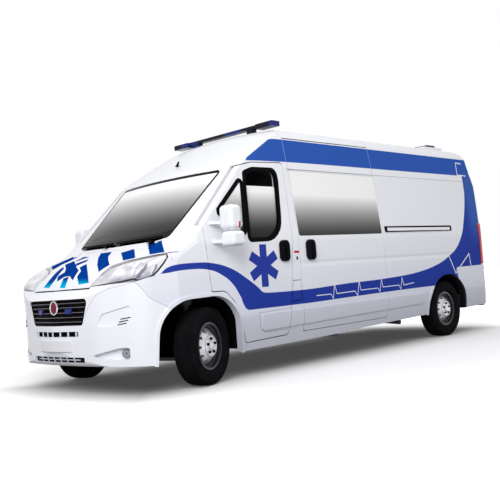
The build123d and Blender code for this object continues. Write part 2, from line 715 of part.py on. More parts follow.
with BuildPart() as tail_lamps:
    add(layer(-moulding_proud, bonnet_thickness) & front_cut(tail_lamp, tail_x - 100, tail_x + 107))
    add(layer(glass_drop, bonnet_thickness)
        & front_cut(tail_lamp, tail_x - 100, tail_x + 110 - seat_gap, seat_gap - panel_gap))
    mirror(about=Plane.XZ)
save(tail_lamps.part, "tail_lamps")

with BuildPart() as light_bars:
    for spans in light_bar_table:
        add(block(*spans))
    add(body_form(-seat_gap, 200), mode=Mode.SUBTRACT)
    mirror(about=Plane.XZ)
save(light_bars.part, "light_bars")

with BuildPart() as wipers:
    for start, end, pivot in wiper_table:
        reach = ((start[0] + 2 * end[0]) / 3, (start[1] + 2 * end[1]) / 3)
        add(skin_all_round(-24, -8) & front_cut(strip(start, end, 18), 0, 500))
        add(skin_all_round(-24, -8) & front_cut(strip(pivot, reach, 16), 0, 500))
        foot = strip((pivot[0] - 14, pivot[1] - 5), (pivot[0] + 14, pivot[1] - 5), 26)
        add(skin_all_round(-24, -seat_gap) & front_cut(foot, 0, 500))
save(wipers.part, "wipers")

# Underbody
inner_form = body_form(wall + seat_gap, 200)
with BuildPart() as floor_pan:
    add(block((tail_x + 70, 120), (-10, 1300), (floor_z - floor_thickness, floor_z)))
    add(block((100, 120), (-10, 1300), (floor_z, a_pillar_foot)))
    add(block((-450, 200), (565, 1300), (0, 815)), mode=Mode.SUBTRACT)
    add(side_cut(front_door, -20, wall + 10), mode=Mode.SUBTRACT)
    add(block((rear_axle_station - liner_radius, rear_axle_station + liner_radius), (liner_inner_y, 1300),
              (0, floor_z + 1)), mode=Mode.SUBTRACT)
    add(block((tail_x, 1000), rail_y, (rail_foot, floor_z - floor_thickness)))
    add(block((jack_station - jack_pad_length / 2, jack_station + jack_pad_length / 2), rail_y,
              (rail_foot - jack_pad_drop, rail_foot)))
    add(inner_form, mode=Mode.INTERSECT)
    mirror(about=Plane.XZ)
save(floor_pan.part, "floor_pan")

with BuildPart() as arch_liners:
    add(side_prism(front_arch, 569, -10))
    add(side_prism(front_arch, 575, -3), mode=Mode.SUBTRACT)
    add(block((-600, 800), (500, 1400), (0, liner_foot)), mode=Mode.SUBTRACT)
    add(post(axle_station, strut_y, 80, (760, tower_top)))
    add(post(axle_station, strut_y, 70, (700, tower_top - 8)), mode=Mode.SUBTRACT)
    add(side_prism(front_arch, 575, -3), mode=Mode.SUBTRACT)
    add(rod(rear_axle_station, arch_height, liner_radius - seat_gap, (liner_inner_y, 1300))
        - rod(rear_axle_station, arch_height, rear_arch_radius + 3, (liner_inner_y + 8, 1300))
        - block((rear_axle_station - 600, rear_axle_station + 600), (600, 1400), (-200, floor_z - floor_thickness)))
    add(inner_form, mode=Mode.INTERSECT)
    mirror(about=Plane.XZ)
save(arch_liners.part, "arch_liners")

with BuildPart() as front_suspension:
    add(block((axle_station - 160, axle_station + 160), (-10, 400), (220, 300)))
    add(block((70, 160), (380, 470), (220, rail_foot - seat_gap)))
    with BuildSketch(plan.offset(220)):
        with BuildLine():
            Polyline(
                (axle_station - 150, 390), (axle_station + 150, 390), (axle_station + 32, kingpin_y + 25),
                (axle_station - 32, kingpin_y + 25), close=True
            )
        make_face()
    extrude(amount=30 - seat_gap, dir=UP)
    add(block((axle_station - 30, axle_station + 30), (strut_y - 30, kingpin_y + 28), (430 + seat_gap, 460)))
    add(post(axle_station, kingpin_y, kingpin_radius, (225, 450)))
    add(post(axle_station, strut_y, 27, (430 + seat_gap, tower_top - 40)))
    add(post(axle_station, strut_y, 58, (705, tower_top - 20)))
    add(post(axle_station, strut_y, 62, (tower_top - 28, tower_top - 8 - seat_gap)))
    mirror(about=Plane.XZ)
save(front_suspension.part, "front_suspension")

spring_ends = (rear_axle_station + 650, rear_axle_station - 650)
with BuildPart() as rear_suspension:
    wheel_y = rear_track / 2
    add(rod(rear_axle_station, tyre_radius, 38, (-10, wheel_y - 40)))
    add(rod(rear_axle_station, tyre_radius, 140, (wheel_y - 60, wheel_y)))
    add(rod(rear_axle_station, tyre_radius, 70, (wheel_y - 5, wheel_y + disc_face - wheel_disc - seat_gap)))
    add(rod(rear_axle_station, tyre_radius, spindle_radius, (wheel_y, wheel_y + disc_face - 2)))
    add(block((rear_axle_station - 50, rear_axle_station + 50), spring_y, (tyre_radius, 390)))
    with BuildSketch(side.offset(-spring_y[0])):
        with BuildLine():
            ThreePointArc((spring_ends[0], 440), (rear_axle_station, 388), (spring_ends[1], 440))
            Line((spring_ends[1], 440), (spring_ends[1], 456))
            ThreePointArc((spring_ends[1], 456), (rear_axle_station, 404), (spring_ends[0], 456))
            Line((spring_ends[0], 456), (spring_ends[0], 440))
        make_face()
    extrude(amount=spring_y[1] - spring_y[0], dir=LEFT)
    for end in spring_ends:
        add(block((end - 20, end + 20), spring_y, (436, floor_z - floor_thickness - seat_gap)))
    mirror(about=Plane.XZ)
save(rear_suspension.part, "rear_suspension")

with BuildPart() as engine_block:
    add(block((180, 640), (-300, 300), (330, 880)))
    fillet(engine_block.edges(), 30)
    add(block((350, 430), (-rail_y[0] + seat_gap, rail_y[0] - seat_gap), (410, 470)))
save(engine_block.part, "engine_block")

with BuildPart() as tank_and_exhaust:
    add(block((-2000, -1250), (-395, 395), (265, floor_z - floor_thickness - seat_gap)))
    fillet(tank_and_exhaust.edges().filter_by(Axis.Z), 60)
    with BuildLine() as pipe_path:
        FilletPolyline(*[(front_axle_x + x, y, z) for x, y, z in exhaust_path], radius=90)
    with BuildSketch(Plane(origin=pipe_path.line @ 0, z_dir=pipe_path.line % 0)):
        Circle(exhaust_radius)
    sweep()
    with BuildSketch(Plane(origin=(front_axle_x - 2150, exhaust_path[3][1], exhaust_path[3][2]), z_dir=(-1, 0, 0))):
        Circle(82)
    extrude(amount=600)
    add(block((-2500, -2460), (535, 555), (360, floor_z - floor_thickness - seat_gap)))
save(tank_and_exhaust.part, "tank_and_exhaust")

# Wheels, tyres and knuckles, left side first
rim_profile = [
    (-76, 184), (-46, 184), (-36, 165), (36, 165), (46, 184), (76, 184), (76, 206), (70, 206), (70, bead - seat_gap),
    (40, bead - seat_gap), (30, 172), (-30, 172), (-40, bead - seat_gap), (-70, bead - seat_gap), (-70, 206), (-76, 206),
]
disc_profile = [
    (4, 160), (disc_face - 20, 98), (disc_face - wheel_disc, 90), (disc_face - wheel_disc, spindle_radius + seat_gap),
    (disc_face, spindle_radius + seat_gap), (disc_face, 96), (disc_face - 8, 106), (18, 168), (4, 168),
]
tyre_profile = [
    (-69, bead), (69, bead), (69, 207), (98, 232), (tyre_width / 2, 268), (104, 300), (92, tyre_radius - 12),
    (78, tyre_radius - 3), (0, tyre_radius), (-78, tyre_radius - 3), (-92, tyre_radius - 12), (-104, 300),
    (-tyre_width / 2, 268), (-98, 232), (-69, 207),
]


def wheel_at(station, y):
    """A steel wheel with a ring of hand holes."""
    with BuildPart() as wheel:
        add(turned(rim_profile, y, station, tyre_radius))
        add(turned(disc_profile, y, station, tyre_radius))
        for count in range(hand_holes):
            angle = 2 * math.pi * count / hand_holes
            hole_x = station + hand_hole_ring * math.cos(angle)
            hole_z = tyre_radius + hand_hole_ring * math.sin(angle)
            add(rod(hole_x, hole_z, hand_hole_radius, (y, y + 100)), mode=Mode.SUBTRACT)
    return wheel.part


def knuckle_at(y):
    """A steering knuckle with its stub axle, brake disc and kingpin eye."""
    with BuildPart() as knuckle:
        add(block((axle_station - 40, axle_station + 40), (kingpin_y, y), (tyre_radius - 46, tyre_radius + 46)))
        add(rod(axle_station, tyre_radius, 130, (y - 25, y)))
        add(rod(axle_station, tyre_radius, 70, (y - 5, y + disc_face - wheel_disc - seat_gap)))
        add(rod(axle_station, tyre_radius, spindle_radius, (y, y + disc_face - 2)))
        add(post(axle_station, kingpin_y, 32, (250, 430)))
        add(post(axle_station, kingpin_y, kingpin_radius + seat_gap, (200, 500)), mode=Mode.SUBTRACT)
    return knuckle.part


steered_pieces = (
    ("knuckle", knuckle_at(front_track / 2)),
    ("wheel_front", wheel_at(axle_station, front_track / 2)),
    ("tyre_front", turned(tyre_profile, front_track / 2, axle_station, tyre_radius)),
)
for stem, straight in steered_pieces:
    with BuildPart() as turned_left:
        add(straight.rotate(Axis((front_axle_x + axle_station, kingpin_y, 0), UP), steer_rest))
    save(turned_left.part, stem + "_left")
    with BuildPart() as facing_right:
        mirror(straight, about=Plane.XZ)
    with BuildPart() as turned_right:
        add(facing_right.part.rotate(Axis((front_axle_x + axle_station, -kingpin_y, 0), UP), steer_rest))
    save(turned_right.part, stem + "_right")

rolling_pieces = (
    ("wheel_rear", wheel_at(rear_axle_station, rear_track / 2)),
    ("tyre_rear", turned(tyre_profile, rear_track / 2, rear_axle_station, tyre_radius)),
)
for stem, straight in rolling_pieces:
    with BuildPart() as rear_left:
        add(straight)
    save(rear_left.part, stem + "_left")
    with BuildPart() as rear_right:
        mirror(straight, about=Plane.XZ)
    save(rear_right.part, stem + "_right")

# Cab
with BuildPart() as bulkhead:
    add(block((-1225, -1205), (-10, 1300), (floor_z, 2500)))
    add(inner_form, mode=Mode.INTERSECT)
    add(block((-1300, -1100), (-20, 320), (1400, 1800)), mode=Mode.SUBTRACT)
    mirror(about=Plane.XZ)
save(bulkhead.part, "bulkhead")

column = Plane(
    origin=(front_axle_x + steering_centre[0], steering_centre[1], steering_centre[2]), x_dir=LEFT, z_dir=column_lean
)
with BuildPart() as dashboard:
    extrude(outline(side.offset(870), dash_profile), amount=1740, dir=LEFT)
    with BuildSketch(column.offset(-320)):
        Circle(24)
    extrude(amount=255)
    with BuildSketch(column.offset(-70)):
        Circle(column_pin)
    extrude(amount=50)
save(dashboard.part, "dashboard")

with BuildPart(column) as steering_wheel:
    Torus(steering_radius, 15)
    with Locations((0, 0, -35)):
        Cylinder(48, 56)
    with BuildSketch(column.offset(-28)):
        Rectangle(2 * steering_radius - 10, 36)
        with Locations((-steering_radius / 2, 0)):
            Rectangle(36, steering_radius - 10, rotation=90)
    extrude(amount=28)
    with BuildSketch(column.offset(-80)):
        Circle(column_pin + seat_gap)
    extrude(amount=62, mode=Mode.SUBTRACT)
save(steering_wheel.part, "steering_wheel")

with BuildPart() as cab_seats:
    for middle, width in seat_table:
        extrude(outline(side.offset(-middle + width / 2), seat_profile), amount=width, dir=LEFT)
        extrude(outline(side.offset(-middle + 130), headrest_profile), amount=260, dir=LEFT)
save(cab_seats.part, "cab_seats")
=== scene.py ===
"""Looks of a high-roof van ambulance: paint, glass, lamps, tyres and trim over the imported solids."""
import json
import math
from functools import cached_property

import bmesh
import bpy
import numpy as np
from mathutils import Matrix


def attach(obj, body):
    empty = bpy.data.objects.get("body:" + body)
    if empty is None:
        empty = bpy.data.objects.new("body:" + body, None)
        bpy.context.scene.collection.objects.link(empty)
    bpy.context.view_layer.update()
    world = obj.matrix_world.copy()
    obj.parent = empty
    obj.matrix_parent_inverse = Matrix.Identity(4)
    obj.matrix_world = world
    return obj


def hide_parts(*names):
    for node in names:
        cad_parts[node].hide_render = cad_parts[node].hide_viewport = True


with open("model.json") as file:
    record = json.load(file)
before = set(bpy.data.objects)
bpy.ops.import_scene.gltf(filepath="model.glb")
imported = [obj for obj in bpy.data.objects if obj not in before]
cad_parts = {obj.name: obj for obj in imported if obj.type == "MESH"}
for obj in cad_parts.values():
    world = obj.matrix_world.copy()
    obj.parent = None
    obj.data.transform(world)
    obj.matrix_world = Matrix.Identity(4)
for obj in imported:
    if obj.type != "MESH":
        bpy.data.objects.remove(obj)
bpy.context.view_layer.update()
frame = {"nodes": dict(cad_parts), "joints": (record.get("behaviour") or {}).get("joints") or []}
RECORD_JOINTS = {joint["name"]: joint for joint in frame["joints"]}

bl_info = {
    "name": "Van ambulance looks",
    "version": (1, 0, 0),
    "blender": (4, 5, 0),
    "location": "3D View > Sidebar > Ambulance",
    "description": "Paint, glass, lamps, tyres and trim of a van ambulance",
    "category": "Object",
}

# Station 0, the front axle line, lies at this place along X, in metres
STATION = 2.102
# Station of the rear face
TAIL = -5.010
# The sign of y on each hand
HANDS = {"left": 1, "right": -1}
WHEELS = [(end, hand) for end in ("front", "rear") for hand in HANDS]

# Linear red, green and blue of the finishes, by what they are on
TONES = {
    # On the next line, the second tone is a painted lavender shade and the third a darker tone of dust with
    # painted shade, both laid over the paint low down
    "clean": (1, 1, 1), "shade_tint": (0.7, 0.72, 0.84), "dust_and_shade": (0.3, 0.29, 0.33),
    "arch lip": (0.012, 0.012, 0.014), "stripe": (0.002, 0.045, 0.28), "corner": (0.045, 0.12, 0.42),
    "trace": (0.85, 0.87, 0.92), "gutter": (0.12, 0.13, 0.2), "white seam": (0.3, 0.3, 0.36),
    "blue seam": (0.4, 0.5, 0.75), "roof rim": (0.05, 0.04, 0.1), "door foot shade": (0.2, 0.21, 0.28),
    "door mark": (0.6, 0.01, 0.05), "door lock": (0.01, 0.01, 0.02),
    "bumper seam shade": (0.2, 0.2, 0.26), "bumper slit": (0.01, 0.01, 0.012),
    "mirror lamp": (0.55, 0.03, 0.03), "mirror joint": (0.1, 0.1, 0.13), "handle": (0.006, 0.006, 0.008),
    "rail edge": (0.008, 0.007, 0.012),
    "silver": (0.62, 0.63, 0.67), "silver pale": (0.68, 0.69, 0.73), "wheel groove shade": (0.08, 0.08, 0.1),
    "wheel rim shade": (0.02, 0.02, 0.024),
    "glass dark": (0.022, 0.022, 0.022), "glass reflection": (0.92, 0.92, 0.92),
    "glass edge": (0.002, 0.002, 0.002),
    "reflector": (0.4, 0.38, 0.44), "reflector pale": (0.78, 0.78, 0.81), "reflector low shade": (0.2, 0.19, 0.25),
    "reflector inner shade": (0.4, 0.36, 0.42), "bulb pocket": (0.05, 0.06, 0.12), "lamp rib": (0.3, 0.31, 0.4),
    "fog lamp": (0.08, 0.08, 0.1), "wing": (0.84, 0.85, 0.89), "lamp edge": (0.02, 0.012, 0.03),
    "tail red": (0.5, 0.012, 0.012), "tail amber": (0.75, 0.2, 0.01), "tail clear": (0.75, 0.75, 0.75),
    "rubber": (0.002, 0.002, 0.003), "rubber dust": (0.012, 0.011, 0.012),
    "cloth": (0.03, 0.032, 0.04), "cloth pale": (0.07, 0.075, 0.09),
    "lens dark": (0.008, 0.008, 0.02), "lens blue": (0.015, 0.025, 0.16), "lens foot": (0.8, 0.81, 0.85),
    "plastic black": (0.002, 0.002, 0.0025), "plastic grey": (0.11, 0.115, 0.12),
    "steel": (0.03, 0.03, 0.032), "cast": (0.14, 0.14, 0.14), "chrome": (0.6, 0.61, 0.63),
    "mirror": (0.7, 0.72, 0.75), "dim metal": (0.16, 0.14, 0.16),
    "badge": (0.2, 0.03, 0.05), "plate": (0.85, 0.85, 0.85),
    "floor shade": (0.12, 0.12, 0.12), "floor": (0.93, 0.93, 0.93), "floor bounce": (0.3, 0.3, 0.31),
}


def tone(name):
    """A colour of the table with full alpha."""
    return (*TONES[name], 1)


class LiveryProps(bpy.types.PropertyGroup):
    """Colours of the paint and of its bands."""

    white: bpy.props.FloatVectorProperty(
        name="White", description="Body paint", subtype="COLOR", size=4, default=(0.84, 0.85, 0.89, 1))
    blue: bpy.props.FloatVectorProperty(
        name="Blue", description="Lower band", subtype="COLOR", size=4, default=(0.024, 0.053, 0.35, 1))
    sky: bpy.props.FloatVectorProperty(
        name="Roof blue", description="Roof band", subtype="COLOR", size=4, default=(0.03, 0.1, 0.43, 1))
    cyan: bpy.props.FloatVectorProperty(
        name="Cyan", description="Front end of the bonnet's stripes", subtype="COLOR", size=4,
        default=(0.0, 0.42, 0.68, 1))
    star: bpy.props.FloatVectorProperty(
        name="Star", description="Six-armed star on the doors", subtype="COLOR", size=4,
        default=(0.03, 0.055, 0.36, 1))


class TyreProps(bpy.types.PropertyGroup):
    """Sizes of the tread."""

    radius: bpy.props.FloatProperty(
        name="Radius", description="Over the tread", unit="LENGTH", default=0.341)
    groove: bpy.props.FloatProperty(
        name="Groove", description="Depth of the tread", unit="LENGTH", default=0.008)
    blocks: bpy.props.IntProperty(
        name="Blocks", description="Shoulder blocks round the tyre", default=64)


class StageProps(bpy.types.PropertyGroup):
    """Camera and light."""

    lens: bpy.props.FloatProperty(
        name="Lens", description="Focal length in millimetres", default=54.37)
    key: bpy.props.FloatProperty(
        name="Key light", description="Power of the main lamp", subtype="POWER", default=830.0)
    world: bpy.props.FloatProperty(
        name="World", description="Strength of the surrounding light", default=0.63)


class Graph:
    """Shorthand for one node tree: makes nodes, sets their sockets and links them."""

    def __init__(self, tree):
        self.tree = tree

    def add(self, kind, **settings):
        node = self.tree.nodes.new(kind)
        for key, value in settings.items():
            setattr(node, key, value)
        return node

    def put(self, socket, value):
        if isinstance(value, bpy.types.NodeSocket):
            self.tree.links.new(value, socket)
        else:
            socket.default_value = value

    def fill(self, node, **values):
        """Sets the named sockets of a node; an underscore stands for a space in a socket's name."""
        for key, value in values.items():
            self.put(node.inputs[key.replace("_", " ")], value)
        return node

    def fill_in_order(self, node, values):
        for socket, value in zip(node.inputs, values):
            self.put(socket, value)
        return node

    def math(self, operation, *values, clamp=False):
        node = self.add("ShaderNodeMath", operation=operation, use_clamp=clamp)
        return self.fill_in_order(node, values).outputs[0]

    def vector(self, operation, *values):
        node = self.fill_in_order(self.add("ShaderNodeVectorMath", operation=operation), values)
        return node.outputs["Value" if operation in ("DOT_PRODUCT", "LENGTH") else "Vector"]

    def split(self, vector):
        """The three parts of a vector."""
        node = self.fill_in_order(self.add("ShaderNodeSeparateXYZ"), [vector])
        return tuple(node.outputs)

    def join(self, *parts):
        """A vector from its three parts."""
        return self.fill_in_order(self.add("ShaderNodeCombineXYZ"), parts).outputs["Vector"]

    def times(self, first, *others):
        """The product of masks or values."""
        for other in others:
            first = self.math("MULTIPLY", first, other)
        return first

    def largest(self, first, *others):
        """The largest of masks or values."""
        for other in others:
            first = self.math("MAXIMUM", first, other)
        return first

    def apart(self, value, middle):
        """How far a value is from a middle one, on either side."""
        return self.math("ABSOLUTE", self.math("SUBTRACT", value, middle))

    def share(self, value, low, high):
        """How far a value is on the way from low to high, held between 0 and 1."""
        return self.math("DIVIDE", self.math("SUBTRACT", value, low), high - low, clamp=True)

    def ramp(self, value, low, high, from_value=0.0, to_value=1.0):
        """Smooth step of a value from low to high."""
        node = self.add("ShaderNodeMapRange", interpolation_type="SMOOTHSTEP", clamp=True)
        self.fill(node, Value=value, From_Min=low, From_Max=high, To_Min=from_value, To_Max=to_value)
        return node.outputs["Result"]

    def below(self, value, limit, edge):
        """Mask of a value below a limit, softened by the edge on both sides of it."""
        return self.ramp(self.math("SUBTRACT", limit, value), -edge, edge)

    def mix(self, factor, first, second, blend="MIX"):
        node = self.fill(self.add("ShaderNodeMix", data_type="RGBA", blend_type=blend), Factor=factor)
        self.put(node.inputs[6], first)
        self.put(node.inputs[7], second)
        return node.outputs[2]

    def noise(self, point, scale, detail=2.0):
        node = self.fill(self.add("ShaderNodeTexNoise"), Vector=point, Scale=scale, Detail=detail)
        return node.outputs["Fac"]

    def curve(self, value, points, x_span, y_span):
        """A smooth line through the points as a function of value, both scaled from their spans."""
        (left, right), (bottom, top) = x_span, y_span
        node = self.fill(self.add("ShaderNodeFloatCurve"), Value=self.share(value, left, right))
        scaled = [((x - left) / (right - left), (y - bottom) / (top - bottom)) for x, y in sorted(points)]
        line = node.mapping.curves[0]
        line.points[0].location = scaled[0]
        line.points[1].location = scaled[-1]
        for x, y in scaled[1:-1]:
            line.points.new(x, y)
        for point in line.points:
            point.handle_type = "AUTO_CLAMPED"
        node.mapping.update()
        return self.math("MULTIPLY_ADD", node.outputs[0], top - bottom, bottom)

    def group(self, name, **inputs):
        return self.fill(self.add("ShaderNodeGroup", node_tree=bpy.data.node_groups[name]), **inputs).outputs

    def mask(self, name, **inputs):
        return self.group(name, **inputs)["Mask"]

    def strokes(self, point, half_width, *routes):
        """Mask of straight strokes along routes; a row of two is a place seen from the side or the front."""
        legs = []
        for route in routes:
            rows = [row if len(row) == 3 else (row[0], 0, row[1]) for row in route]
            legs += [self.mask("painted_stroke", Point=point, Start=start, End=end, Half_width=half_width)
                     for start, end in zip(rows, rows[1:])]
        return self.largest(*legs)

    def bump(self, shader, height, distance, strength=0.4):
        """Drives the shader's normal from a height."""
        node = self.add("ShaderNodeBump")
        self.fill(node, Strength=strength, Distance=distance, Height=height)
        self.fill(shader, Normal=node.outputs["Normal"])


class Place:
    """A point on the vehicle in nodes: station, place across y, height and distance out |y|."""

    def __init__(self, graph, point):
        self.graph = graph
        self.x, self.y, self.height = graph.split(point)

    @cached_property
    def station(self):
        return self.graph.math("SUBTRACT", self.x, STATION)

    @cached_property
    def out(self):
        return self.graph.math("ABSOLUTE", self.y)

    def from_side(self):
        return self.graph.join(self.station, 0.0, self.height)

    def from_above(self):
        return self.graph.join(self.station, self.y, 0.0)

    def from_front(self):
        """The place seen from the front with both hands folded together."""
        return self.graph.join(self.out, 0.0, self.height)

    def folded(self):
        """The place in all three directions with both hands folded together."""
        return self.graph.join(self.station, self.out, self.height)


NUMBER, VECTOR, COLOUR = "NodeSocketFloat", "NodeSocketVector", "NodeSocketColor"
# Half of the soft edge of bands and bars, and of strokes
BAND_EDGE = 0.0015
STROKE_EDGE = 0.001
# A block reaches a little past its corners, so that neighbours leave no gap
BLOCK_EDGE = (-0.0035, -0.001)
# Heights between which dust with painted shade, and a painted lavender shade of the paint, fade in downwards
DUST_AND_SHADE_HEIGHTS = (0.75, 0.25)
SHADE_TINT_HEIGHTS = (1.35, 0.5)


def new_group(name, inputs, outputs):
    """An empty shader node group with named sockets; returns its graph, its inputs by name and its end."""
    tree = bpy.data.node_groups.new(name, "ShaderNodeTree")
    for way, sockets in (("INPUT", inputs), ("OUTPUT", outputs)):
        for label, kind in sockets.items():
            tree.interface.new_socket(name=label, in_out=way, socket_type=kind)
    graph = Graph(tree)
    return graph, graph.add("NodeGroupInput").outputs, graph.add("NodeGroupOutput")


def make_bar_group():
    """A square-ended bar: inside its half length along its line and inside its half width across it."""
    graph, given, end = new_group("painted_bar", {
        "Point": VECTOR, "Centre": VECTOR, "Along": VECTOR, "Half length": NUMBER, "Half width": NUMBER},
        {"Mask": NUMBER})
    offset = graph.vector("SUBTRACT", given["Point"], given["Centre"])
    along = graph.vector("DOT_PRODUCT", offset, given["Along"])
    across = graph.vector("SUBTRACT", offset, graph.vector("MULTIPLY", given["Along"], along))
    inside_length = graph.below(graph.math("ABSOLUTE", along), given["Half length"], BAND_EDGE)
    inside_width = graph.below(graph.vector("LENGTH", across), given["Half width"], BAND_EDGE)
    graph.fill(end, Mask=graph.times(inside_length, inside_width))


def make_stroke_group():
    """A round-ended stroke: inside a half width from the nearest place between its two ends."""
    graph, given, end = new_group("painted_stroke", {
        "Point": VECTOR, "Start": VECTOR, "End": VECTOR, "Half width": NUMBER}, {"Mask": NUMBER})
    leg = graph.vector("SUBTRACT", given["End"], given["Start"])
    offset = graph.vector("SUBTRACT", given["Point"], given["Start"])
    share = graph.math("DIVIDE", graph.vector("DOT_PRODUCT", offset, leg),
                       graph.vector("DOT_PRODUCT", leg, leg), clamp=True)
    aside = graph.vector("SUBTRACT", offset, graph.vector("MULTIPLY", leg, share))
    graph.fill(end, Mask=graph.below(graph.vector("LENGTH", aside), given["Half width"], STROKE_EDGE))


def make_quad_group():
    """A four-cornered block seen from above: on the left of all four legs between its corners."""
    graph, given, end = new_group("painted_quad", {
        "Point": VECTOR, "A": VECTOR, "B": VECTOR, "C": VECTOR, "D": VECTOR}, {"Mask": NUMBER})
    inside = None
    for first, second in ("AB", "BC", "CD", "DA"):
        leg = graph.vector("SUBTRACT", given[second], given[first])
        offset = graph.vector("SUBTRACT", given["Point"], given[first])
        turned = graph.vector("DOT_PRODUCT", graph.vector("CROSS_PRODUCT", leg, offset), (0, 0, 1))
        apart = graph.math("DIVIDE", turned, graph.vector("LENGTH", leg))
        inside = graph.math("MINIMUM", inside, apart) if inside else apart
    graph.fill(end, Mask=graph.ramp(inside, *BLOCK_EDGE))


def make_paint_group():
    """Paint: faint orange peel, a painted lavender shade towards the ground, and dust with painted shade low
    down.
    """
    graph, given, end = new_group(
        "paint_texture", {"Point": VECTOR, "Dust": NUMBER},
        {"Tint": COLOUR, "Roughness": NUMBER, "Height": NUMBER})
    height = graph.split(given["Point"])[2]
    low = graph.times(graph.ramp(height, *DUST_AND_SHADE_HEIGHTS), given["Dust"])
    shade_tint = graph.times(graph.ramp(height, *SHADE_TINT_HEIGHTS), given["Dust"])
    dust_and_shade = graph.times(low, graph.noise(given["Point"], 2.3, 5.0))
    # Painted shade: a lavender cast that grows towards the ground, and a darker tone low down that stands for
    # dust and shade together
    tint = graph.mix(shade_tint, tone("clean"), tone("shade_tint"))
    graph.fill(end, Tint=graph.mix(graph.times(low, 0.6), tint, tone("dust_and_shade")),
               Roughness=graph.math("MULTIPLY_ADD", dust_and_shade, 0.5, 0.2),
               Height=graph.noise(given["Point"], 160.0))


def make_grain_group():
    """Moulded grain: the distance to the nearest of scattered points, with a blotchy roughness."""
    graph, given, end = new_group(
        "moulded_grain", {"Point": VECTOR, "Scale": NUMBER}, {"Height": NUMBER, "Roughness": NUMBER})
    cells = graph.add("ShaderNodeTexVoronoi", feature="F1")
    graph.fill(cells, Vector=given["Point"], Scale=given["Scale"])
    blot = graph.noise(given["Point"], 14.0)
    graph.fill(end, Height=cells.outputs["Distance"], Roughness=graph.math("MULTIPLY_ADD", blot, 0.3, 0.4))


def new_material(name):
    """A material with its shader and object coordinates; returns the material, graph, shader and point."""
    material = bpy.data.materials.new(name)
    material.use_nodes = True
    graph = Graph(material.node_tree)
    shader = next(node for node in material.node_tree.nodes if node.type == "BSDF_PRINCIPLED")
    point = graph.add("ShaderNodeTexCoord").outputs["Object"]
    return material, graph, shader, point


# Livery seen from the side. Columns: station, height, in metres
BAND_TOP = [
    (0.62, 0.90), (0.49, 1.0), (0.422, 1.047), (0.312, 1.067), (0.086, 1.071), (-0.089, 1.055),
    (-0.267, 1.008), (-0.448, 0.917), (-0.608, 0.816), (-0.70, 0.757), (-1.196, 0.749), (-2.009, 0.771),
    (-2.657, 0.783), (-3.389, 0.827), (-3.859, 0.91), (-4.089, 0.989), (-4.249, 1.06), (-4.397, 1.185),
    (-4.608, 1.513), (-4.731, 1.851), (-4.76, 2.10), (-5.2, 2.10),
]
BAND_BOTTOM = [
    (0.62, 1.08), (0.49, 0.996), (0.317, 1.012), (0.149, 1.017), (-0.024, 1.001), (-0.163, 0.95),
    (-0.278, 0.872), (-0.378, 0.739), (-0.468, 0.614), (-1.18, 0.613), (-1.989, 0.624), (-2.936, 0.636),
    (-3.698, 0.64), (-5.2, 0.64),
]
BAND_SPANS = ((-5.2, 0.62), (0.5, 2.2))
ROOF_TOP = [
    (-0.5, 1.93), (-0.652, 2.02), (-0.824, 2.14), (-0.943, 2.21), (-1.058, 2.26), (-1.236, 2.268),
    (-5.2, 2.27),
]
ROOF_BOTTOM = [(-0.5, 2.01), (-0.652, 2.018), (-1.453, 2.036), (-3.28, 2.04), (-5.2, 2.045)]
ROOF_SPANS = ((-5.2, -0.5), (1.9, 2.3))
# The star's middle, the half length and half width of its bars, and their turns in degrees
STAR = (-0.711, 1.011)
STAR_ARM = (0.2, 0.047)
STAR_TURNS = (90, 30, 150)
TRACE = [
    (-1.449, 0.677), (-1.675, 0.677), (-1.71, 0.628), (-1.746, 0.781), (-1.774, 0.675), (-2.085, 0.681),
    (-2.131, 0.629), (-2.17, 0.783), (-2.193, 0.684), (-2.508, 0.686), (-2.541, 0.645), (-2.589, 0.781),
    (-2.605, 0.691), (-2.924, 0.694), (-2.958, 0.646), (-2.998, 0.776), (-3.026, 0.688), (-3.24, 0.704),
]
CORNER_TRACE = [(-4.089, 0.989), (-4.225, 0.768), (-4.6, 1.004), (-4.626, 0.853)]
ROOF_TRACE = [(-4.791, 2.211), (-4.662, 2.218), (-4.632, 2.051), (-4.841, 2.047)]
# Painted shade along the pressed line round the front door's foot, dark line at the roof's rim, mark and lock
# on the sliding door
DOOR_FOOT = [
    (-1.05, 0.587), (-0.597, 0.574), (-0.623, 0.466), (-0.645, 0.412), (-0.71, 0.386), (-1.002, 0.389)]
ROOF_RIM = [(-1.25, 2.283), (-2.68, 2.287)]
DOOR_MARK = [(-1.165, 1.127), (-1.218, 1.126)]
DOOR_LOCK = [(-1.192, 1.072), (-1.192, 1.058)]
# Faces further out than this belong to a side, and to the left side where the left alone is marked
SIDE_FROM = 0.83
LEFT_FROM = 0.9
# The roof's side leans in: a height, the distance out there, and its change with height
ROOF_LEAN = (1.96, 0.925, -0.1667)
# The band's lighter rear corner: stations and heights between which it fades in
CORNER_STATIONS = (-4.62, -4.85)
CORNER_HEIGHTS = (1.02, 1.55)
# Seams across the roof, the height above which they show, and the gutter's height and first station
ROOF_SEAMS = (-1.24, -2.692)
ROOF_FROM = 1.965
GUTTER = (1.962, -1.2)
SEAM_EDGE = (0.004, 0.0015)
# The pressed step along the side: it dips between the first two heights and rises to the third, in metres
CREASE_HEIGHTS = (1.042, 1.014, 0.966)
CREASE_DIP, CREASE_RISE = -0.004, 0.006
CREASE_STATIONS = (-1.1, -1.35)
# Where the bonnet's blocks lie, and the stations between which they turn cyan
BONNET_HEIGHTS = (0.925, 1.33)
BONNET_FROM = 0.15
BONNET_HALF_WIDTH = 0.93
STRIPE_FADE = (0.765, 0.84)
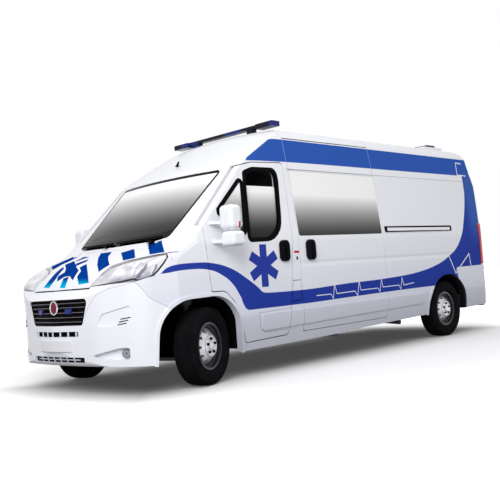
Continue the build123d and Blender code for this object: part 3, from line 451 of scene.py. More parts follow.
# Blocks on the bonnet seen from above. Columns: four corners, each a station and a place across
BONNET_BLOCKS = [
    ((0.677, -0.510), (0.585, -0.567), (0.448, -0.745), (0.443, -0.810)),
    ((0.585, -0.567), (0.451, -0.600), (0.324, -0.804), (0.399, -0.868)),
    ((0.451, -0.600), (0.317, -0.522), (0.250, -0.718), (0.316, -0.818)),
    ((0.828, -0.312), (0.841, -0.193), (0.753, -0.220), (0.739, -0.331)),
    ((0.739, -0.331), (0.753, -0.220), (0.603, -0.317), (0.545, -0.419)),
    ((0.788, -0.144), (0.742, -0.082), (0.660, -0.166), (0.725, -0.222)),
    ((0.854, 0.007), (0.857, 0.094), (0.750, -0.008), (0.763, -0.070)),
    ((0.609, -0.267), (0.625, -0.065), (0.414, -0.434), (0.479, -0.488)),
    ((0.741, -0.098), (0.740, -0.002), (0.625, -0.065), (0.609, -0.267)),
    ((0.740, -0.002), (0.788, 0.117), (0.680, 0.051), (0.625, -0.065)),
    ((0.449, -0.357), (0.379, -0.222), (0.347, -0.360), (0.416, -0.385)),
    ((0.585, -0.149), (0.496, -0.094), (0.438, -0.145), (0.509, -0.243)),
    ((0.687, 0.105), (0.697, 0.215), (0.559, -0.001), (0.625, -0.011)),
    ((0.753, 0.139), (0.744, 0.290), (0.694, 0.212), (0.687, 0.105)),
    ((0.829, 0.273), (0.810, 0.395), (0.744, 0.290), (0.753, 0.139)),
    ((0.434, 0.013), (0.433, 0.167), (0.332, 0.080), (0.331, -0.093)),
    ((0.598, 0.231), (0.517, 0.284), (0.433, 0.167), (0.434, 0.013)),
    ((0.704, 0.403), (0.613, 0.435), (0.517, 0.284), (0.598, 0.231)),
    ((0.537, 0.538), (0.488, 0.641), (0.306, 0.394), (0.368, 0.282)),
    ((0.424, 0.769), (0.373, 0.903), (0.191, 0.650), (0.237, 0.514)),
]
# The opening round a rear wheel: station and height of its centre, radius with a little to spare
REAR_ARCH = (-4.035, 0.332, 0.4345)
# Sheen of the paint, low enough that its colours hold at a glance along it
PAINT_SHINE = 0.008


def paint_finish(graph, shader, point, colour, dust=0.6, crease=0.0, shine=PAINT_SHINE):
    """Smooth paint: faint orange peel, dust with painted shade low down, both as strong as dust, and an
    optional pressed crease in metres.
    """
    texture = graph.group("paint_texture", Point=point, Dust=dust)
    graph.fill(shader, Base_Color=graph.mix(1.0, colour, texture["Tint"], "MULTIPLY"),
               Roughness=texture["Roughness"], Specular_IOR_Level=shine)
    graph.bump(shader, graph.math("MULTIPLY_ADD", texture["Height"], 0.00003, crease), 1.0, 1.0)


def rear_arch_marks(graph, place, colour):
    """Dark faces that line the rear wheel's opening: round its centre above it, straight down below it."""
    station, height, radius = REAR_ARCH
    ahead = graph.math("SUBTRACT", place.station, station)
    above = graph.math("MAXIMUM", graph.math("SUBTRACT", place.height, height), 0.0)
    lip = graph.math("LESS_THAN", graph.vector("LENGTH", graph.join(ahead, 0.0, above)), radius)
    return graph.mix(lip, colour, tone("arch lip"))


def band(graph, place, top, bottom, spans):
    """Mask between two lines seen from the side."""
    over = graph.below(place.height, graph.curve(place.station, top, *spans), BAND_EDGE)
    under = graph.below(graph.curve(place.station, bottom, *spans), place.height, BAND_EDGE)
    return graph.times(over, under)


def star_arms(graph, view):
    """Mask of three bars that cross at the star's middle."""
    arms = []
    for turn in STAR_TURNS:
        along = (math.cos(math.radians(turn)), 0, math.sin(math.radians(turn)))
        arms.append(graph.mask("painted_bar", Point=view, Centre=(STAR[0], 0, STAR[1]), Along=along,
                               Half_length=STAR_ARM[0], Half_width=STAR_ARM[1]))
    return graph.largest(*arms)


def bonnet_stripes(graph, place):
    """Mask of the blocks on the bonnet's upper face."""
    view = place.from_above()
    blocks = []
    for row in BONNET_BLOCKS:
        corners = {name: (*corner, 0) for name, corner in zip("ABCD", row)}
        blocks.append(graph.mask("painted_quad", Point=view, **corners))
    low, high = BONNET_HEIGHTS
    return graph.times(
        graph.largest(*blocks), graph.math("GREATER_THAN", place.height, low),
        graph.math("LESS_THAN", place.height, high), graph.math("GREATER_THAN", place.station, BONNET_FROM),
        graph.math("LESS_THAN", place.out, BONNET_HALF_WIDTH))


def drawn_seams(graph, place, view, on_side, on_roof_side, roof, colour):
    """Gutter, roof seams, roof rim, painted shade along the door's pressed line, and the mark and lock of the
    doors, drawn over a colour.
    """
    gutter = graph.ramp(graph.apart(place.height, GUTTER[0]), *SEAM_EDGE)
    gutter = graph.times(gutter, graph.math("LESS_THAN", place.station, GUTTER[1]), 0.7)
    colour = graph.mix(gutter, colour, tone("gutter"))
    seams = [graph.ramp(graph.apart(place.station, seam), *SEAM_EDGE) for seam in ROOF_SEAMS]
    seam = graph.times(graph.largest(*seams), graph.math("GREATER_THAN", place.height, ROOF_FROM), 0.75)
    colour = graph.mix(seam, colour, graph.mix(roof, tone("white seam"), tone("blue seam")))
    rim = graph.times(graph.strokes(view, 0.005, ROOF_RIM), on_roof_side)
    colour = graph.mix(rim, colour, tone("roof rim"))
    # Painted shade along the pressed line at the front door's foot
    foot = graph.times(graph.strokes(view, 0.004, DOOR_FOOT), on_side, 0.4)
    colour = graph.mix(foot, colour, tone("door foot shade"))
    left = graph.math("GREATER_THAN", place.y, LEFT_FROM)
    for route, name in ((DOOR_MARK, "door mark"), (DOOR_LOCK, "door lock")):
        colour = graph.mix(graph.times(graph.strokes(view, 0.012, route), left), colour, tone(name))
    return colour


def outward_faces(graph, place):
    """Mask of the faces that look away from the vehicle's middle or upwards, not into its inside."""
    _, across, up = graph.split(graph.add("ShaderNodeTexCoord").outputs["Normal"])
    outward = graph.times(across, graph.math("SIGN", place.y))
    return graph.math("GREATER_THAN", graph.math("MULTIPLY_ADD", up, 0.3, outward), -0.25)


def side_crease(graph, place):
    """Depth of the pressed step along the side behind the front door."""
    top, middle, foot = CREASE_HEIGHTS
    dip = graph.times(graph.ramp(place.height, top, middle), CREASE_DIP)
    rise = graph.times(graph.ramp(place.height, middle, foot), CREASE_RISE)
    return graph.times(graph.math("ADD", dip, rise), graph.ramp(place.station, *CREASE_STATIONS))


def make_livery(props):
    """White paint with the blue bands, star and traces, drawn from the place on the vehicle."""
    material, graph, shader, point = new_material("livery_paint")
    white, blue, sky, cyan, star_blue = (
        tuple(colour) for colour in (props.white, props.blue, props.sky, props.cyan, props.star))
    place = Place(graph, point)
    view = place.from_side()
    on_side = graph.math("GREATER_THAN", place.out, SIDE_FROM)
    lean_height, lean_out, lean_slope = ROOF_LEAN
    above = graph.math("SUBTRACT", place.height, lean_height)
    on_roof_side = graph.math("GREATER_THAN", place.out,
                              graph.math("MULTIPLY_ADD", above, lean_slope, lean_out))

    roof = graph.times(band(graph, place, ROOF_TOP, ROOF_BOTTOM, ROOF_SPANS), on_roof_side)
    lower = graph.times(band(graph, place, BAND_TOP, BAND_BOTTOM, BAND_SPANS), on_side)
    corner = graph.times(graph.ramp(place.station, *CORNER_STATIONS),
                         graph.ramp(place.height, *CORNER_HEIGHTS))
    star = graph.times(star_arms(graph, view), on_side)
    bonnet = bonnet_stripes(graph, place)
    side_trace = graph.largest(graph.strokes(view, 0.0045, TRACE), graph.strokes(view, 0.008, CORNER_TRACE))
    traces = graph.largest(graph.times(side_trace, on_side),
                           graph.times(graph.strokes(view, 0.007, ROOF_TRACE), on_roof_side))

    colour = graph.mix(roof, white, sky)
    colour = graph.mix(lower, colour, graph.mix(corner, blue, tone("corner")))
    colour = graph.mix(star, colour, star_blue)
    stripe = graph.mix(graph.ramp(place.station, *STRIPE_FADE), tone("stripe"), cyan)
    colour = graph.mix(bonnet, colour, stripe)
    colour = graph.mix(traces, colour, tone("trace"))
    colour = drawn_seams(graph, place, view, on_side, on_roof_side, roof, colour)
    colour = graph.mix(outward_faces(graph, place), white, colour)
    colour = rear_arch_marks(graph, place, colour)
    # The stripes have no sheen, which would wash them out along the bonnet
    shine = graph.math("MULTIPLY_ADD", bonnet, -PAINT_SHINE, PAINT_SHINE)
    crease = graph.times(side_crease(graph, place), on_side)
    paint_finish(graph, shader, point, colour, crease=crease, shine=shine)
    return material


def make_paint(name, colour, dust=0.6, marks=None):
    """Smooth paint of one colour, with dust and painted shade low down as strong as dust; marks draws a
    darker or lighter pattern over it.
    """
    material, graph, shader, point = new_material(name)
    colour = tuple(colour)
    if marks:
        colour = marks(graph, Place(graph, point), colour)
    paint_finish(graph, shader, point, colour, dust)
    return material


# Slits in the side scoop, and the seam above it with painted shade along it, seen from the front. Columns:
# distance out, height
BUMPER_SLITS = [
    [(0.767, 0.648), (0.849, 0.659)],
    [(0.752, 0.625), (0.832, 0.637)],
    [(0.741, 0.603), (0.818, 0.614)],
]
BUMPER_SEAM = [(0.443, 0.706), (0.514, 0.794), (0.576, 0.863), (0.676, 0.901), (0.89, 0.941)]


def bumper_marks(graph, place, colour):
    """Dark slits in the scoops and faint painted shade along a seam towards the headlamp."""
    view = place.from_front()
    # Painted shade along the seam
    seam = graph.times(graph.strokes(view, 0.0025, BUMPER_SEAM), 0.45)
    colour = graph.mix(seam, colour, tone("bumper seam shade"))
    return graph.mix(graph.strokes(view, 0.0045, *BUMPER_SLITS), colour, tone("bumper slit"))


# Fittings of the front door: handles lie behind a station; height and half height of the mirror's joint;
# height, half height, station and half length of the mirror's lamp, and the distance out beyond which it lies
HANDLE_BEHIND = -0.6
MIRROR_JOINT = (1.331, 0.006)
MIRROR_LAMP = (1.379, 0.028, -0.218, 0.012)
MIRROR_LAMP_FROM = 1.2


def mirror_marks(graph, place, colour):
    """Black door handle behind the mirror, dark joint under the mirror's upper glass and its small lamp."""
    lamp_height, lamp_half, lamp_station, lamp_half_length = MIRROR_LAMP
    lamp = graph.times(
        graph.math("LESS_THAN", graph.apart(place.height, lamp_height), lamp_half),
        graph.math("LESS_THAN", graph.apart(place.station, lamp_station), lamp_half_length),
        graph.math("GREATER_THAN", place.out, MIRROR_LAMP_FROM))
    joint_height, joint_half = MIRROR_JOINT
    joint = graph.math("LESS_THAN", graph.apart(place.height, joint_height), joint_half)
    colour = graph.mix(lamp, colour, tone("mirror lamp"))
    colour = graph.mix(graph.times(joint, 0.6), colour, tone("mirror joint"))
    return graph.mix(graph.math("LESS_THAN", place.station, HANDLE_BEHIND), colour, tone("handle"))


# The sliding door's handle lies ahead of a station; heights of the rail's pale face; its middle and half
# length
SLIDE_HANDLE_FROM = -1.7
RAIL_FACE = (1.319, 1.355)
RAIL_MIDDLE, RAIL_HALF = -3.473, 0.69


def rail_marks(graph, place, colour):
    """Black sliding handle, and a rail with black edges and ends."""
    handle = graph.math("GREATER_THAN", place.station, SLIDE_HANDLE_FROM)
    upper = graph.math("GREATER_THAN", place.height, RAIL_FACE[1])
    lower = graph.math("LESS_THAN", place.height, RAIL_FACE[0])
    ends = graph.math("GREATER_THAN", graph.apart(place.station, RAIL_MIDDLE), RAIL_HALF)
    return graph.mix(graph.largest(handle, upper, lower, ends), colour, tone("rail edge"))


def scaled_tone(colour, factor):
    """A colour made lighter or darker, held at full brightness."""
    return tuple(min(1, part * factor) for part in colour[:3]) + (1,)


def make_plastic(name, colour, scale=900.0):
    """Moulded plastic with a fine grain and a slightly paler bloom."""
    material, graph, shader, point = new_material(name)
    texture = graph.group("moulded_grain", Point=point, Scale=scale)
    graph.fill(shader, Base_Color=graph.mix(graph.noise(point, 6.0), colour, scaled_tone(colour, 1.5)),
               Roughness=texture["Roughness"], Specular_IOR_Level=0.02)
    graph.bump(shader, texture["Height"], 0.0003)
    return material


def make_metal(name, colour, metallic, rough):
    """Metal or metal-filled paint with faint blotches."""
    material, graph, shader, point = new_material(name)
    blot = graph.noise(point, 18.0, 6.0)
    graph.fill(shader, Base_Color=graph.mix(blot, scaled_tone(colour, 0.8), colour),
               Roughness=graph.math("MULTIPLY_ADD", blot, 0.2, rough), Metallic=metallic)
    graph.bump(shader, blot, 0.0004, 0.2)
    return material


# Radii on a wheel: both edges of the groove round its hub, which holds painted shade, where the rim's painted
# shade starts, and its outer lip, paled by a painted highlight
WHEEL_GROOVE = ((0.096, 0.0975), (0.1025, 0.101))
RIM_START = (0.154, 0.162)
RIM_LIP = (0.199, 0.196)


def make_wheel():
    """Silver wheel with painted shade in a groove round its hub and over the rim, and a faint painted
    highlight on the rim's lip, by the distance from the nearest axle line.
    """
    material, graph, shader, point = new_material("wheel_metal")
    apart = None
    for end, hand in WHEELS:
        centre, axle = wheel_axes(f"{hand}_{end}_roll")[:2]
        offset = graph.vector("SUBTRACT", point, tuple(centre))
        away = graph.vector("LENGTH", graph.vector("CROSS_PRODUCT", offset, tuple(axle)))
        apart = graph.math("MINIMUM", apart, away) if apart else away
    blot = graph.noise(point, 18.0)
    silver = graph.mix(blot, tone("silver"), tone("silver pale"))
    # Painted shade in the groove round the hub and over the rim, with a painted highlight paling the rim's
    # outer lip
    groove = graph.times(*(graph.ramp(apart, *edge) for edge in WHEEL_GROOVE), 0.7)
    silver = graph.mix(groove, silver, tone("wheel groove shade"))
    rim = graph.times(graph.ramp(apart, *RIM_START), graph.ramp(apart, *RIM_LIP, 0.86, 1.0))
    graph.fill(shader, Base_Color=graph.mix(rim, silver, tone("wheel rim shade")), Metallic=0.6,
               Roughness=graph.math("MULTIPLY_ADD", blot, 0.2, 0.25))
    graph.bump(shader, blot, 0.0002, 0.1)
    return material


def make_glass(name, dark_at, light_at, border=None):
    """Glass with a painted reflection: dark low down to pale high up, with an optional black border."""
    material, graph, shader, point = new_material(name)
    place = Place(graph, point)
    # Painted reflection: the glass pales from near black low down to near white high up
    share = graph.math("POWER", graph.share(place.height, dark_at, light_at), 2.0)
    colour = graph.mix(share, tone("glass dark"), tone("glass reflection"))
    if border:
        colour = graph.mix(border(graph, place), colour, tone("glass edge"))
    graph.fill(shader, Base_Color=colour, Specular_IOR_Level=0.06, Coat_Weight=0.06, Coat_Roughness=0.02,
               Roughness=graph.math("MULTIPLY_ADD", graph.noise(point, 3.0), 0.06, 0.03))
    return material


# The windscreen's foot seen from the front. Columns: distance out, height
SCREEN_FOOT = [(0, 1.285), (0.45, 1.293), (0.62, 1.303), (0.70, 1.33), (0.8, 1.4)]
SCREEN_SPANS = ((0, 0.8), (1.2, 1.5))
# The screen's side: a height, the distance out there, and its change with height
SCREEN_SIDE = (1.32, 0.712, 0.0952)
# Width of the black edge at the foot and at the sides, and the height where it starts at the top
SCREEN_EDGE_FOOT, SCREEN_EDGE_SIDE, SCREEN_EDGE_TOP = 0.075, 0.03, 1.92


def screen_border(graph, place):
    """Black edge of the windscreen, wide at its foot, from the place seen from the front."""
    foot = graph.curve(place.out, SCREEN_FOOT, *SCREEN_SPANS)
    below = graph.math("LESS_THAN", place.height, graph.math("ADD", foot, SCREEN_EDGE_FOOT))
    start, start_out, slope = SCREEN_SIDE
    side = graph.math("MULTIPLY_ADD", graph.math("SUBTRACT", place.height, start), slope, start_out)
    beyond = graph.math("GREATER_THAN", place.out, graph.math("SUBTRACT", side, SCREEN_EDGE_SIDE))
    above = graph.math("GREATER_THAN", place.height, SCREEN_EDGE_TOP)
    return graph.largest(below, beyond, above)


# Dark edge of the headlamp seen from the front. Columns: distance out, height
LAMP_EDGE = [
    (0.905, 0.952), (0.891, 0.969), (0.812, 0.957), (0.643, 0.944), (0.468, 0.928), (0.467, 1.008),
    (0.516, 1.085), (0.6, 1.108), (0.736, 1.133), (0.85, 1.147), (0.963, 1.157)]
# Its edge along the wing, and the ribs, bulb pocket and bow inside it. Columns: station, distance out, height
LAMP_SIDE = [
    (0.405, 0.968, 1.157), (0.416, 0.994, 1.135), (0.46, 0.99, 1.082), (0.515, 0.976, 1.023),
    (0.554, 0.966, 0.991), (0.605, 0.95, 0.967), (0.679, 0.9, 0.954)]
LAMP_RIBS = [
    [(0.558, 0.819, 1.104), (0.698, 0.888, 0.996)],
    [(0.683, 0.901, 0.993), (0.572, 0.873, 1.091)],
]
LAMP_POCKET = [(0.575, 0.905, 1.1), (0.612, 0.936, 1.057), (0.645, 0.924, 1.02), (0.672, 0.909, 0.985)]
LAMP_BOW = [(0.522, 0.973, 1.07), (0.535, 0.971, 1.04), (0.56, 0.964, 1.005)]
LAMP_SPANS = ((0.95, 1.17), (0.38, 0.64))
# Past this distance out and behind the lamp's edge along the wing, the lens is painted as the wing
WING_FROM = 0.93
# Middle of the fog lamp seen from the front, and the radius of its dark ring
FOG_MIDDLE = (0.782, 0, 0.364)
FOG_RING = 0.03


def lamp_reflector(graph, place, solid, flute):
    """Pale fluted reflector, with painted shade low down towards the wing and at its inner end."""
    share = graph.math("MULTIPLY_ADD", flute, 0.06, graph.ramp(graph.noise(solid, 13.0, 3.0), 0.25, 0.62))
    colour = graph.mix(share, tone("reflector"), tone("reflector pale"))
    # Painted shade low down towards the wing and at the reflector's inner end
    low = graph.times(graph.ramp(place.height, 1.02, 0.96), graph.ramp(place.out, 0.5, 0.75), 0.8)
    colour = graph.mix(low, colour, tone("reflector low shade"))
    inner = graph.times(graph.ramp(place.out, 0.66, 0.5), 0.45)
    return graph.mix(inner, colour, tone("reflector inner shade"))


def make_lamp_lens():
    """Clear lens: fluted reflector, ribs, dark bulb pockets towards the wing, dark edge; fog lamps below."""
    material, graph, shader, point = new_material("lamp_lens")
    place = Place(graph, point)
    front = place.from_front()
    solid = place.folded()
    flute = graph.math("SINE", graph.times(place.out, 300.0))
    ribs = graph.strokes(solid, 0.009, *LAMP_RIBS)
    pockets = graph.largest(graph.strokes(solid, 0.015, LAMP_POCKET), graph.strokes(solid, 0.008, LAMP_BOW))
    colour = lamp_reflector(graph, place, solid, flute)
    colour = graph.mix(graph.times(pockets, 0.75), colour, tone("bulb pocket"))
    colour = graph.mix(graph.times(ribs, 0.7), colour, tone("lamp rib"))
    fog = graph.vector("LENGTH", graph.vector("SUBTRACT", front, FOG_MIDDLE))
    fog_ring = graph.ramp(graph.apart(fog, FOG_RING), 0.006, 0.003)
    fog_core = graph.ramp(fog, 0.02, 0.008)
    colour = graph.mix(graph.times(graph.largest(fog_ring, fog_core), 0.7), colour, tone("fog lamp"))
    side_line = [(height, station) for station, _, height in LAMP_SIDE[:-1]]
    side = graph.curve(place.height, side_line, *LAMP_SPANS)
    beyond = graph.times(graph.math("LESS_THAN", place.station, side),
                         graph.math("GREATER_THAN", place.out, WING_FROM))
    colour = graph.mix(beyond, colour, tone("wing"))
    edge = graph.largest(graph.strokes(front, 0.0075, LAMP_EDGE), graph.strokes(solid, 0.008, LAMP_SIDE))
    graph.fill(shader, Base_Color=graph.mix(edge, colour, tone("lamp edge")), Specular_IOR_Level=0.3,
               Roughness=0.16, Coat_Weight=0.3, Coat_Roughness=0.02)
    graph.bump(shader, graph.math("ADD", flute, graph.times(ribs, 6.0)), 0.0006, 0.5)
    return material


# The tail lamp's rear face is amber above a height and clear round another
AMBER_FROM = 1.26
CLEAR_MIDDLE, CLEAR_HALF = 0.97, 0.045


def make_tail_lens():
    """Ribbed red lens with an amber and a clear band."""
    material, graph, shader, point = new_material("tail_lens")
    place = Place(graph, point)
    behind = graph.math("LESS_THAN", place.station, TAIL + 0.03)
    amber = graph.times(behind, graph.math("GREATER_THAN", place.height, AMBER_FROM))
    clear = graph.times(behind, graph.math("LESS_THAN", graph.apart(place.height, CLEAR_MIDDLE), CLEAR_HALF))
    colour = graph.mix(amber, tone("tail red"), tone("tail amber"))
    graph.fill(shader, Base_Color=graph.mix(clear, colour, tone("tail clear")), Roughness=0.12,
               Specular_IOR_Level=0.3, Coat_Weight=0.3)
    graph.bump(shader, graph.math("SINE", graph.times(place.height, 700.0)), 0.0006, 0.5)
    return material


def make_rubber():
    """Tyre rubber: matt and faintly dusty."""
    material, graph, shader, point = new_material("rubber")
    dust = graph.noise(point, 9.0, 8.0)
    graph.fill(shader, Base_Color=graph.mix(dust, tone("rubber"), tone("rubber dust")),
               Specular_IOR_Level=0.01, Roughness=graph.math("MULTIPLY_ADD", dust, 0.25, 0.6))
    graph.bump(shader, dust, 0.0008, 0.5)
    return material


def make_fabric():
    """Woven seat cloth."""
    material, graph, shader, point = new_material("seat_cloth")
    node = graph.add("ShaderNodeTexWave", wave_type="BANDS", bands_direction="DIAGONAL")
    wave = graph.fill(node, Vector=point, Scale=180.0).outputs["Fac"]
    graph.fill(shader, Base_Color=graph.mix(wave, tone("cloth"), tone("cloth pale")),
               Roughness=graph.math("MULTIPLY_ADD", wave, 0.1, 0.8))
    graph.bump(shader, wave, 0.0008, 0.5)
    return material


# Lenses ahead of the first station are the grille's; behind the second is the rear bar, with its pale foot
GRILLE_LENS_FROM = 0.5
REAR_BAR_BEHIND = -3.5
REAR_BAR_FOOT = 2.4665


def make_blue_lens():
    """Dark blue lens of the warning lights, with close upright ribs and a pale foot on the rear bar."""
    material, graph, shader, point = new_material("warning_lens")
    place = Place(graph, point)
    cell = graph.math("SINE", graph.times(place.y, 9.0))
    lit = graph.largest(graph.ramp(cell, 0.2, 0.5),
                        graph.math("GREATER_THAN", place.station, GRILLE_LENS_FROM))
    colour = graph.mix(lit, tone("lens dark"), tone("lens blue"))
    foot = graph.times(graph.math("LESS_THAN", place.station, REAR_BAR_BEHIND),
                       graph.math("LESS_THAN", place.height, REAR_BAR_FOOT))
    graph.fill(shader, Base_Color=graph.mix(foot, colour, tone("lens foot")), Roughness=0.2,
               Specular_IOR_Level=0.1, Coat_Weight=0.05)
    graph.bump(shader, graph.math("SINE", graph.times(place.y, 500.0)), 0.0005, 0.5)
    return material


# Points closer than this are merged, and slivers thinner than this are dissolved, in metres
MERGE = 0.00002
SLIVER = 0.00001


def sheet_faces(rows, columns, close_rows=False, close_columns=False, first=0):
    """Quad corners of a grid of points as whole arrays; a closed way joins its last line to its first."""
    row = np.arange(rows if close_rows else rows - 1)
    column = np.arange(columns if close_columns else columns - 1)
    a, b = np.meshgrid(row, column, indexing="ij")
    c, d = (a + 1) % rows, (b + 1) % columns
    quads = np.stack([a * columns + b, c * columns + b, c * columns + d, a * columns + d], axis=-1)
    return quads.reshape(-1, 4) + first


def mesh_piece(name, grids, finish, body, smooth_angle=40.0):
    """One object from several grids of points.

    Each grid is (points[rows, columns, 3], close_rows, close_columns), and finish names a material.
    """
    points, quads, count = [], [], 0
    for grid, close_rows, close_columns in grids:
        rows, columns = grid.shape[:2]
        points.append(grid.reshape(-1, 3))
        quads.append(sheet_faces(rows, columns, close_rows, close_columns, count))
        count += rows * columns
    points = np.concatenate(points).astype(np.float32)
    quads = np.concatenate(quads).astype(np.int32)
    mesh = bpy.data.meshes.new(name)
    mesh.vertices.add(len(points))
    mesh.vertices.foreach_set("co", points.ravel())
    mesh.loops.add(quads.size)
    mesh.loops.foreach_set("vertex_index", quads.ravel())
    mesh.polygons.add(len(quads))
    mesh.polygons.foreach_set("loop_start", np.arange(0, quads.size, 4, dtype=np.int32))
    mesh.update(calc_edges=True)
    mesh.validate()
    shell = bmesh.new()
    shell.from_mesh(mesh)
    bmesh.ops.remove_doubles(shell, verts=shell.verts, dist=MERGE)
    bmesh.ops.dissolve_degenerate(shell, edges=shell.edges, dist=SLIVER)
    bmesh.ops.recalc_face_normals(shell, faces=shell.faces)
    shell.to_mesh(mesh)
    shell.free()
    mesh.shade_smooth()
    mesh.set_sharp_from_angle(angle=math.radians(smooth_angle))
    mesh.materials.append(bpy.data.materials[finish])
    piece = bpy.data.objects.new(name, mesh)
    bpy.context.scene.collection.objects.link(piece)
    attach(piece, body)
    return piece


def wheel_axes(joint_name):
    """Centre of a wheel and its three directions: outwards along the axle, forwards and up."""
    joint = RECORD_JOINTS[joint_name]
    centre = np.array(joint["pos_m"])
    axle = np.array(joint["axis"], float)
    axle = axle / np.linalg.norm(axle) * np.sign(centre[1])
    up = np.array((0.0, 0.0, 1.0))
    return centre, axle, np.cross(up, axle), up


def full_turn(steps):
    """Even angles round a full turn, one to a row."""
    return np.linspace(0, 2 * np.pi, steps, endpoint=False)[:, None]


def turned_grid(axes, along, radius, steps):
    """Point = centre + along * axle + radius * (cos a * ahead + sin a * up), a full turn of a profile."""
    centre, axle, ahead, up = axes
    angle = full_turn(steps)
    along = np.broadcast_to(along, (steps, np.shape(along)[-1]))
    radius = np.broadcast_to(radius, along.shape)
    return (centre + along[..., None] * axle + (radius * np.cos(angle))[..., None] * ahead
            + (radius * np.sin(angle))[..., None] * up)


# Tyre's wall from its bead to its shoulder. Columns: distance from the wheel's middle, radius
TYRE_WALL = np.array([
    (0.069, 0.1912), (0.0692, 0.206), (0.082, 0.214), (0.096, 0.23), (0.1035, 0.246), (0.1068, 0.268),
    (0.1045, 0.29), (0.1025, 0.302), (0.099, 0.316), (0.0925, 0.328), (0.088, 0.3335), (0.08, 0.3375)])
TREAD_HALF, TREAD_CROWN, TREAD_COLUMNS = 0.078, 0.003, 53
# Distance from the middle of the grooves round the tyre, and half their width
GROOVES = np.array([[0.02], [0.052]])
GROOVE_HALF = 0.0035
# Limits of the tread's cuts: the shoulder's outer end, its lowest radius, its inner end, and the middle's end
SHOULDER_END, SHOULDER_RADIUS, SHOULDER_START, MIDDLE_END = 0.0905, 0.325, 0.054, 0.052
CUT_SLANT = 1.6
CUT_STEPS = 8
WALL_RIBS, WALL_RIB_DEPTH = 90, 0.0008


def tyre_grid(props, axes):
    """A turned profile of the two walls, the tread and the seat on the rim.

    The tread's radius drops in four grooves round the tyre and in slanted cuts, which are the crests of a
    cosine of the angle that shifts with the distance from the middle. Fine ribs stand in the walls near the
    shoulder.
    """
    wall_along, wall_radius = TYRE_WALL.T
    tread_along = np.linspace(TREAD_HALF, -TREAD_HALF, TREAD_COLUMNS)
    tread_radius = props.radius - TREAD_CROWN * (tread_along / TREAD_HALF) ** 2
    seat = np.linspace(-wall_along[0], wall_along[0], 4)[1:-1]
    along = np.concatenate([wall_along, tread_along, -wall_along[::-1], seat])
    radius = np.concatenate([wall_radius, tread_radius, wall_radius[::-1], np.full(2, wall_radius[0])])
    out = np.abs(along)
    steps = props.blocks * CUT_STEPS
    angle = full_turn(steps)
    rounds = np.clip(1.4 - np.abs(out - GROOVES) / GROOVE_HALF, 0, 1).max(0) * (out < TREAD_HALF)
    cut = np.clip((np.cos((angle + CUT_SLANT * out) * props.blocks) - 0.55) * 4, 0, 1)
    cut = np.maximum(cut * (out > SHOULDER_START), cut * 0.45 * (out < MIDDLE_END))
    on_tread = (out < SHOULDER_END) & (radius > SHOULDER_RADIUS)
    drop = np.maximum(rounds, cut) * on_tread
    ribs = WALL_RIB_DEPTH * np.clip(np.cos(angle * WALL_RIBS), 0, 1) * ((out > 0.1) & (radius > 0.298))
    return turned_grid(axes, along, radius - props.groove * drop - ribs, steps)


def nut_grid(axes, across, height, steps=36):
    """A six-sided nut with a domed top: the radius of a hexagon over the angle, closed at its middle."""
    angle = full_turn(steps)
    six = np.cos(np.pi / 6) / np.cos((angle % (np.pi / 3)) - np.pi / 6)
    along = np.array([0.0, 0.0, 0.7, 0.9, 1.0, 1.0]) * height
    share = np.array([0.0, 1.0, 1.0, 0.9, 0.6, 0.0])
    return turned_grid(axes, along, share * across * six, steps)


# The body's side. Columns: height, half width
BODY_SIDE = np.array([(0.0, 0.938), (0.56, 1.024), (1.25, 1.024), (1.96, 0.947), (2.29, 0.892), (2.40, 0.80)])


def side_half_width(height):
    """Half width of the body at a height: upright to 1.25 m, then leaning in to the gutter and the roof."""
    return np.interp(height, *BODY_SIDE.T)


def unit(vectors):
    """Rows of vectors scaled to length 1."""
    return vectors / np.linalg.norm(vectors, axis=1, keepdims=True)


def rounded_route(corners, steps=7):
    """A closed route round corners (station, height, radius): straight runs joined by arcs."""
    rows = np.array(corners, float)
    places, radius = rows[:, :2], rows[:, 2]
    before = unit(np.roll(places, 1, axis=0) - places)
    after = unit(np.roll(places, -1, axis=0) - places)
    half = np.arccos(np.clip((before * after).sum(1), -1, 1)) / 2
    hub = places + unit(before + after) * (radius / np.sin(half))[:, None]
    start = places + before * (radius / np.tan(half))[:, None] - hub
    end = places + after * (radius / np.tan(half))[:, None] - hub
    first = np.arctan2(start[:, 1], start[:, 0])
    sweep = (np.arctan2(end[:, 1], end[:, 0]) - first + np.pi) % (2 * np.pi) - np.pi
    angle = first[:, None] + sweep[:, None] * np.linspace(0, 1, steps)
    route = hub[:, None, :] + radius[:, None, None] * np.stack([np.cos(angle), np.sin(angle)], axis=-1)
    return route.reshape(-1, 2)


# The window seal's section: how far it reaches to each side of the outline, stands proud and goes in
SEAL_HALF, SEAL_PROUD, SEAL_DEEP, SEAL_BEVEL = 0.022, 0.0015, 0.03, 0.002


def seal_grid(corners, side):
    """A flat rubber strip: a section carried round a window's outline on the body's leaning side."""
    route = rounded_route(corners)
    ahead = unit(np.roll(route, -1, axis=0) - np.roll(route, 1, axis=0))
    inward = np.stack([-ahead[:, 1], ahead[:, 0]], axis=-1)
    section = np.array([
        (-SEAL_HALF, 0.0), (-SEAL_HALF + SEAL_BEVEL, SEAL_PROUD), (SEAL_HALF - SEAL_BEVEL, SEAL_PROUD),
        (SEAL_HALF, 0.0), (SEAL_HALF, -SEAL_DEEP), (-SEAL_HALF, -SEAL_DEEP)])
    flat = route[:, None, :] + inward[:, None, :] * section[None, :, 0, None]
    y = side_half_width(flat[..., 1]) + section[None, :, 1]
    return np.stack([flat[..., 0] + STATION, side * y, flat[..., 1]], axis=-1)


